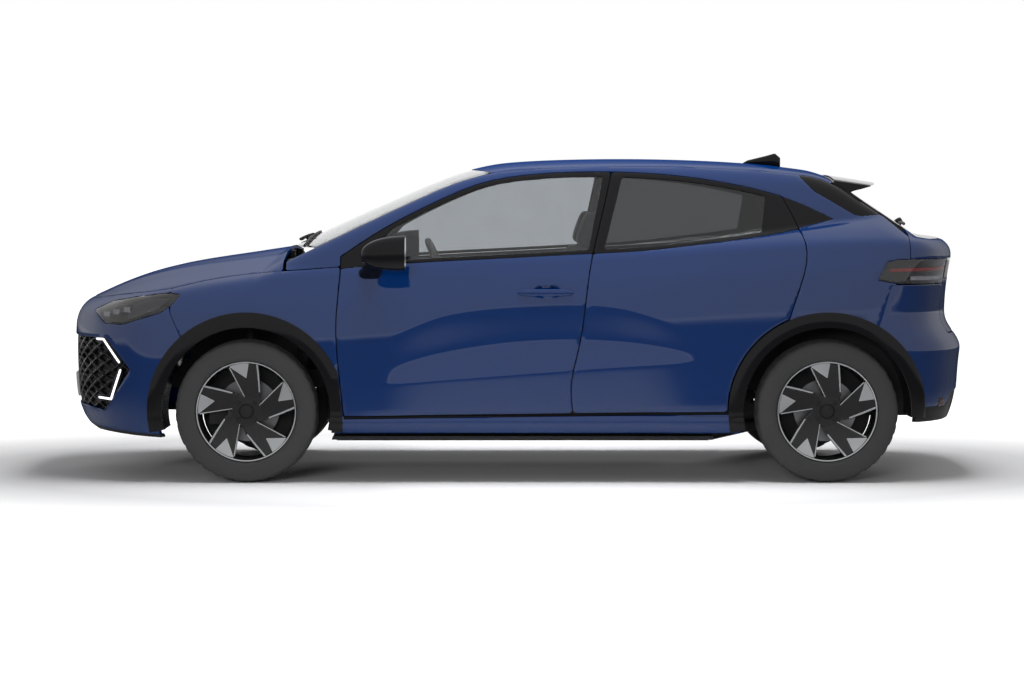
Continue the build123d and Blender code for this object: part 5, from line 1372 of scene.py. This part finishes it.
door_front = np.array(sorted((z, x) for x, z in run_points(DOOR_FRONT_RUN)))
front_band = arch_band(FRONT_AXLE, lambda z: np.interp(z, *door_front.T) - 5, FRONT_TAIL)
rear_band = arch_band(REAR_AXLE, lambda z: z * 0 + 5000, REAR_TAIL)
piece("wheel_arch_trims.bands", "body", [*both(front_band), *both(rear_band)], [gloss_black],
      ["wheel_arch_trims"])

# %% [markdown]
# ## Mirrors, fin, wipers and plates
# Small black pieces are rounded bars and shells: superellipse rings along a path.

# %% Mirrors
shell_s = np.linspace(0.0, 1.0, 22)
swell = (1 - (1 - shell_s) ** 2.6) ** 0.5
shell_path = np.stack([-688 + 198 * shell_s, 966 + 4 * shell_s, 1020 + 8 * shell_s], -1)
mirror_shell = bar_along(shell_path, ACROSS, UP, 60 * swell + 1.5, 76 * swell + 1.5, power=3.0, ring=40)
glass_path = np.stack([np.linspace(-492, -488, 3), np.full(3, 970.0), np.full(3, 1028.0)], -1)
mirror_pane = bar_along(glass_path, ACROSS, UP, np.array([52.0, 53, 52]), np.array([68.0, 69, 68]),
                        power=3.2, ring=40)
foot_s = np.linspace(0, 1, 9)
foot_low = float(side_y(-650.0, 930.0))
foot_path = np.stack([-655 + 40 * foot_s, foot_low - 8 + (938 - foot_low) * foot_s, 930 + 52 * foot_s], -1)
mirror_foot = bar_along(foot_path, ALONG, UP, 50 - 14 * foot_s, 28 - 8 * foot_s, power=3)
for side, turn in SIDES:
    piece(f"mirror_{side}.housing", f"front_door_{side}", [turn(mirror_shell), turn(mirror_foot)],
          [gloss_black], [f"mirror_{side}"])
    piece(f"mirror_{side}.pane", f"front_door_{side}", [turn(mirror_pane)], [bright_trim])

# %% Roof fin, wipers and plates
fin_s = np.linspace(0, 1, 24)
fin_x = 1070 + 176 * fin_s
fin_base = top_z(fin_x, 0 * fin_x) - 2
fin_rise = np.interp(fin_s, [0, 0.12, 0.6, 0.86, 1], [4, 18, 46, 64, 46])
fin_path = np.stack([fin_x, 0 * fin_x, fin_base + fin_rise / 2], -1)
fin_half = np.interp(fin_s, [0, 0.3, 1], [8, 19, 9])
fin = bar_along(fin_path, ACROSS, UP, fin_half, fin_rise / 2, power=2.2, ring=28)
piece("roof_fin.shell", "body", [fin], [gloss_black], ["roof_fin"])


def on_screen(x, y, lift):
    return np.stack([x, y, top_z(x, y) + lift], -1)


wipers = []
for x0, y0, x1, y1 in ((-960, -600, -925, 20), (-985, -60, -940, 560)):
    t = np.linspace(0, 1, 30)
    blade = on_screen(x0 + (x1 - x0) * t, y0 + (y1 - y0) * t, 4)
    wipers.append(bar_along(blade, ALONG, UP, np.full(30, 5.0), np.full(30, 7.0), ring=10))
    arm_t = np.linspace(0, 1, 12)
    arm = on_screen(-1020 + (x0 + x1 + 2040) / 2 * arm_t, y1 + 40 - (y1 - y0) / 2 * arm_t, 14)
    wipers.append(bar_along(arm, ALONG, UP, np.linspace(11, 6, 12), np.linspace(7, 4, 12), ring=10))
piece("front_wipers", "body", wipers, [satin_black])
knob_s = np.linspace(0, 1, 8)
knob_path = np.stack([1796 + 26 * knob_s, 0 * knob_s, 1146 + 20 * knob_s], -1)
knob_half = 19 - 6 * knob_s**3
knob = bar_along(knob_path, ACROSS, np.array([-0.55, 0, 0.83]), knob_half, knob_half, power=2)
arm_y = np.linspace(0, -330, 14)
arm_x = 1806 - 14 * np.linspace(0, 1, 14)
rear_arm = bar_along(on_screen(arm_x, arm_y, 12), np.array([0.83, 0, 0.55]), UP, np.linspace(9, 5, 14),
                     np.full(14, 5.0), ring=10)
piece("tailgate.wiper", "tailgate", [knob, rear_arm], [satin_black])


def rounded_box(u, v, half_u, half_v, radius):
    """Distance to a rounded rectangle about the origin, negative inside."""
    qu, qv = np.abs(u) - half_u + radius, np.abs(v) - half_v + radius
    return np.hypot(np.maximum(qu, 0), np.maximum(qv, 0)) + np.minimum(np.maximum(qu, qv), 0) - radius


PLATE, FRONT_PLATE_Z, REAR_PLATE_Z = (260.0, 56.0, 10.0), 405.0, 800.0
front_plate = panel(from_nose, *even_grid(math.pi - 0.36, math.pi + 0.36, 340, 470, 90, 30), seen_as(
    from_nose, lambda x, y, z: rounded_box(y, z - FRONT_PLATE_Z, *PLATE)), depth=-4, wall=14)
rear_plate = panel(from_cross_line, *even_grid(0.02, 0.4, -280, 280, 40, 90), seen_as(
    from_cross_line, lambda x, y, z: rounded_box(y, z - REAR_PLATE_Z, *PLATE)), depth=-3, wall=5)
piece("front_bumper.plate", "body", [front_plate], [plate_white])
piece("tailgate.plate", "tailgate", [rear_plate], [plate_white])

# %% [markdown]
# ## Cabin
# Through the glass one sees the seats, the wheel and the dashboard's top. The seats are foam under cloth:
# each pad is a rounded sheet over two parameters, thin at its seam and full in the middle, with raised sides
# and sewn channels.

# %% Seat pads
def pad(origin, along, across, thick, half_long, half_wide, half_thick, bolster=0.0, channels=0, n=46):
    """A stuffed pad: top and bottom sheets over (v along, u across) that meet at a seam round the edge."""
    v, u = even_grid(-1, 1, -1, 1, n, n)
    full = np.clip((1 - np.abs(u) ** 7) * (1 - np.abs(v) ** 7), 0, 1) ** 0.4
    sides = bolster * ramp(np.abs(u), 0.52, 0.80) * (1 - ramp(np.abs(u), 0.86, 1.0))
    seam = 5 * np.exp(-(((np.abs(u) - 0.56) * half_wide / 7) ** 2)) if bolster else 0
    if channels:
        inside = 1 - ramp(np.abs(u), 0.5, 0.58)
        seam = seam + 4 * inside * np.exp(-(((((v + 1) * channels / 2) % 1) - 0.5) / 0.07) ** 2)
    lift = full * (half_thick + sides - seam + 5 * (1 - u * u) * (1 - v * v))
    flat = (np.array(origin, float) + v[..., None] * half_long * np.array(along) +
            u[..., None] * half_wide * np.array(across))
    upper = flat + (lift + 2)[..., None] * np.array(thick)
    lower = flat - (full * half_thick + 2)[..., None] * np.array(thick)
    points, faces = mesh_grid(upper)
    return walled(points, lower.reshape(-1, 3), faces)


def slanted(degrees):
    """Up along a backrest that leans back, and forward out of it."""
    c, s = math.cos(math.radians(degrees)), math.sin(math.radians(degrees))
    return np.array([s, 0, c]), np.array([-c, 0, s])


def block(x0, x1, y0, y1, z0, z1, power=8.0):
    """A block with rounded edges."""
    path = np.stack([np.full(6, (x0 + x1) / 2), np.full(6, (y0 + y1) / 2), np.linspace(z0, z1, 6)], -1)
    return bar_along(path, ALONG, ACROSS, np.full(6, (x1 - x0) / 2), np.full(6, (y1 - y0) / 2),
                     power=power, ring=32)


def post(x, y, z0, z1):
    path = np.stack([np.full(3, x), np.full(3, y), np.linspace(z0, z1, 3)], -1)
    return bar_along(path, ALONG, ACROSS, np.full(3, 6.0), np.full(3, 6.0), power=2, ring=12)


BACK_ANGLE, PAD_FILL = 19.8, 0.85
CUSHION_ALONG, CUSHION_UP = np.array([0.995, 0, -0.06]), np.array([0.06, 0, 0.995])
lean, forward = slanted(BACK_ANGLE)
for side, y in (("left", -360.0), ("right", 360.0)):
    name = f"front_seat_{side}"
    cushion = pad((-165, y, 442), CUSHION_ALONG, ACROSS, CUSHION_UP, 232, 238, 62, 26, 5)
    back = pad((222, y, 768), lean, ACROSS, forward, 282, 236, 52, 30, 6)
    rest = pad((334, y, 1122), lean * 0.98, ACROSS, forward, 82, 124, 40)
    skirt = block(-385, 95, y - 222, y + 222, 242, 372)
    seat = piece(name + ".pads", "body", [cushion, back, rest], [seat_cloth], [name], sharp=60)
    posts = [post(302, y + shift, 985, 1070) for shift in (-52, 52)]
    piece(name + ".base", "body", [skirt, *posts], [dash_plastic])
bench_pads = [pad((812, 0, 442), CUSHION_ALONG, ACROSS, CUSHION_UP, 200, 574, 62, 12, 4, 60),
              pad((1163, 0, 760), lean, ACROSS, forward, 252, 574, 44, 12, 5, 60)]
bench_pads += [pad((1246, y, 1068), lean, ACROSS, forward, 66, 112, 34) for y in (-380.0, 380.0)]
bench = piece("rear_bench.pads", "body", bench_pads, [seat_cloth], ["rear_bench"], sharp=60)
piece("rear_bench.base", "body", [block(625, 1000, -570, 570, 242, 372)], [dash_plastic])
print("seats:", sum(len(o.data.polygons) for o in made if "seat" in o.name or "bench" in o.name))

# %% Steering wheel and dashboard
COLUMN, RAKE = np.array([-330.0, -360.0, 905.0]), math.radians(25)
wheel_axis = np.array([math.cos(RAKE), 0, math.sin(RAKE)])
wheel_up = np.array([-math.sin(RAKE), 0, math.cos(RAKE)])
RIM_RADIUS, RIM_TUBE = 182.0, 15.0
round_a, tube_a = even_grid(0, 2 * np.pi * 71 / 72, 0, 2 * np.pi * 15 / 16, 72, 16)
reach = RIM_RADIUS + RIM_TUBE * np.cos(tube_a) - 9 * np.clip(-np.sin(round_a) - 0.8, 0, 1) / 0.2
rim_points = (COLUMN + (reach * np.cos(round_a))[..., None] * ACROSS
              + (reach * np.sin(round_a))[..., None] * wheel_up
              + (RIM_TUBE * np.sin(tube_a))[..., None] * wheel_axis)
rim_shell = mesh_grid(rim_points, close_u=True, close_v=True)


def spoke(degrees):
    c, s = math.cos(math.radians(degrees)), math.sin(math.radians(degrees))
    direction = c * ACROSS + s * wheel_up
    side_way = -s * ACROSS + c * wheel_up
    t = np.linspace(30, 176, 9)
    path = COLUMN - 6 * wheel_axis + t[:, None] * direction
    return bar_along(path, side_way, wheel_axis, np.linspace(26, 15, 9), np.full(9, 7.0))


pillow = pad(COLUMN - 2 * wheel_axis, wheel_up, ACROSS, wheel_axis, 62, 74, 20, n=30)
boss_path = COLUMN + np.linspace(-30, -8, 4)[:, None] * wheel_axis
boss = bar_along(boss_path, ACROSS, wheel_up, np.full(4, 46.0), np.full(4, 46.0), power=2, ring=32)
spokes = [spoke(degrees) for degrees in (4, 176, 270)]
piece("steering_wheel.rim", "steering_wheel", [rim_shell, *spokes, pillow, boss], [dash_plastic],
      ["steering_wheel"], sharp=60)
hood_t = np.linspace(-1, 1, 25)
hood_z = 928 + 26 * np.sqrt(np.clip(1 - hood_t**4, 0, 1))
hood_path = np.stack([np.full(25, -590.0), -360 + 190 * hood_t, hood_z], -1)
hood = bar_along(hood_path, ALONG, UP, np.full(25, 95.0), np.full(25, 16.0))
display_path = np.stack([np.linspace(-536, -528, 3), np.zeros(3), np.full(3, 960.0)], -1)
display = bar_along(display_path, ACROSS, np.array([-0.2, 0, 0.98]), np.full(3, 125.0), np.full(3, 62.0),
                    power=9, ring=32)
display_foot = block(-575, -535, -60, 60, 905, 950)
piece("dashboard.hood", "body", [hood, display_foot], [dash_plastic])
piece("dashboard.display", "body", [display], [gloss_black])

# %% Finishes of the pieces that show as they are
PLAIN_NODES = {"floor_pan": carpet, "wheel_liners": carpet, "engine_block": cast_iron,
               "front_subframe": cast_iron, "rear_axle": cast_iron, "exhaust": cast_iron,
               "dashboard": dash_plastic, "scuttle": satin_black, "hinge_leaves": cast_iron,
               "knuckle_left": cast_iron, "knuckle_right": cast_iron}
for name, material in PLAIN_NODES.items():
    mesh = cad_nodes[name].data
    mesh.materials.clear()
    mesh.materials.append(material)
print("pieces:", len(made), "faces:", sum(len(o.data.polygons) for o in made))

# %% [markdown]
# ## Floor, light and camera
# The photo has a white background and even, soft light from above, with a soft shadow under the car.

# %% Floor and sky
FLOOR_HALF, NEAR_HALF_X, NEAR_HALF_Y, AMBIENT = 40, 3.4, 2.6, 0.25
floor_corners = [(x * FLOOR_HALF, y * FLOOR_HALF, 0) for x, y in ((-1, -1), (1, -1), (1, 1), (-1, 1))]
floor_mesh = bpy.data.meshes.new("floor")
floor_mesh.from_pydata(floor_corners, [], [(0, 1, 2, 3)])
floor = bpy.data.objects.new("floor", floor_mesh)
bpy.context.scene.collection.objects.link(floor)
floor_paper = bpy.data.materials.new("floor_paper")
floor_paper.use_nodes = True
paper_tree = floor_paper.node_tree
paper_shader = paper_tree.nodes["Principled BSDF"]
paper_shader.inputs["Base Color"].default_value = (0.84, 0.84, 0.85, 1.0)
paper_shader.inputs["Roughness"].default_value = 0.9
paper_shader.inputs["Specular IOR Level"].default_value = 0.0
paper_shader.inputs["Emission Color"].default_value = (1.0, 1.0, 1.0, 1.0)
paper_place = add(paper_tree, "ShaderNodeTexCoord").outputs["Object"]
paper_axes = add(paper_tree, "ShaderNodeSeparateXYZ", {0: paper_place}).outputs
far_x = math_node(paper_tree, "POWER", math_node(paper_tree, "DIVIDE", paper_axes["X"], NEAR_HALF_X), 2.0)
far_y = math_node(paper_tree, "POWER", math_node(paper_tree, "DIVIDE", paper_axes["Y"], NEAR_HALF_Y), 2.0)
ellipse = math_node(paper_tree, "ADD", far_x, far_y)
far = add(paper_tree, "ShaderNodeMapRange", {"Value": ellipse, "From Min": 0.55, "From Max": 1.3,
                                             "To Min": 0.0, "To Max": 1.0}).outputs[0]
paper_rays = add(paper_tree, "ShaderNodeLightPath").outputs
straight = math_node(paper_tree, "MAXIMUM", paper_rays["Is Camera Ray"], paper_rays["Is Transmission Ray"])
far_off = add(paper_tree, "ShaderNodeMapRange", {"Value": ellipse, "From Min": 40.0, "From Max": 90.0,
                                                 "To Min": 0.0, "To Max": 1.0}).outputs[0]
mirrored_white = math_node(paper_tree, "MULTIPLY", far_off, paper_rays["Is Glossy Ray"])
white = math_node(paper_tree, "MAXIMUM", math_node(paper_tree, "MULTIPLY", far, straight), mirrored_white)
paper_tree.links.new(white, paper_shader.inputs["Emission Strength"])
floor_mesh.materials.append(floor_paper)

world = bpy.data.worlds.new("studio")
bpy.context.scene.world = world
world.use_nodes = True
sky_tree = world.node_tree
sky_tree.nodes.clear()
seen = add(sky_tree, "ShaderNodeLightPath").outputs
shown = math_node(sky_tree, "MAXIMUM", seen["Is Camera Ray"], math_node(
    sky_tree, "MAXIMUM", seen["Is Glossy Ray"], seen["Is Transmission Ray"]))
level = add(sky_tree, "ShaderNodeMapRange", {"Value": shown, "To Min": AMBIENT, "To Max": 1.0}).outputs[0]
sky = add(sky_tree, "ShaderNodeBackground", {"Color": (1, 1, 1, 1), "Strength": level})
add(sky_tree, "ShaderNodeOutputWorld", {"Surface": sky.outputs[0]})


# %% Lamps
def softbox(name, place, aim, size, power, spread):
    """A large soft lamp at a place, facing a point; the car's finishes don't mirror it."""
    lamp = bpy.data.lights.new(name, "AREA")
    lamp.shape = "RECTANGLE"
    lamp.size, lamp.size_y = size
    lamp.energy = power
    lamp.spread = math.radians(spread)
    holder = bpy.data.objects.new(name, lamp)
    holder.location = place
    holder.rotation_euler = (Vector(aim) - Vector(place)).to_track_quat("-Z", "Y").to_euler()
    holder.visible_glossy = False
    bpy.context.scene.collection.objects.link(holder)


softbox("overhead", (0.5, 0, 5.0), (0.1, 0, 0), (5.0, 2.6), 95, 75)
softbox("left_front", (-2.5, -11.0, 2.4), (-0.2, 0, 0.9), (5.0, 1.6), 28, 40)
softbox("right_rear", (3.0, 10.5, 2.8), (0.2, 0, 0.9), (5.0, 1.6), 28, 40)

# %% Camera and colour
CAMERA_PLACE, CAMERA_PITCH, SENSOR_WIDTH, LENS_LENGTH = (-0.02, -14.0, 1.30), 2.9, 36.0, 104.0
camera_data = bpy.data.cameras.new("camera")
camera_data.sensor_width = SENSOR_WIDTH
camera_data.lens = LENS_LENGTH
camera = bpy.data.objects.new("camera", camera_data)
camera.location = CAMERA_PLACE
camera.rotation_euler = (math.radians(90 - CAMERA_PITCH), 0, 0)
bpy.context.scene.collection.objects.link(camera)
bpy.context.scene.camera = camera
bpy.context.scene.view_settings.view_transform = "Standard"
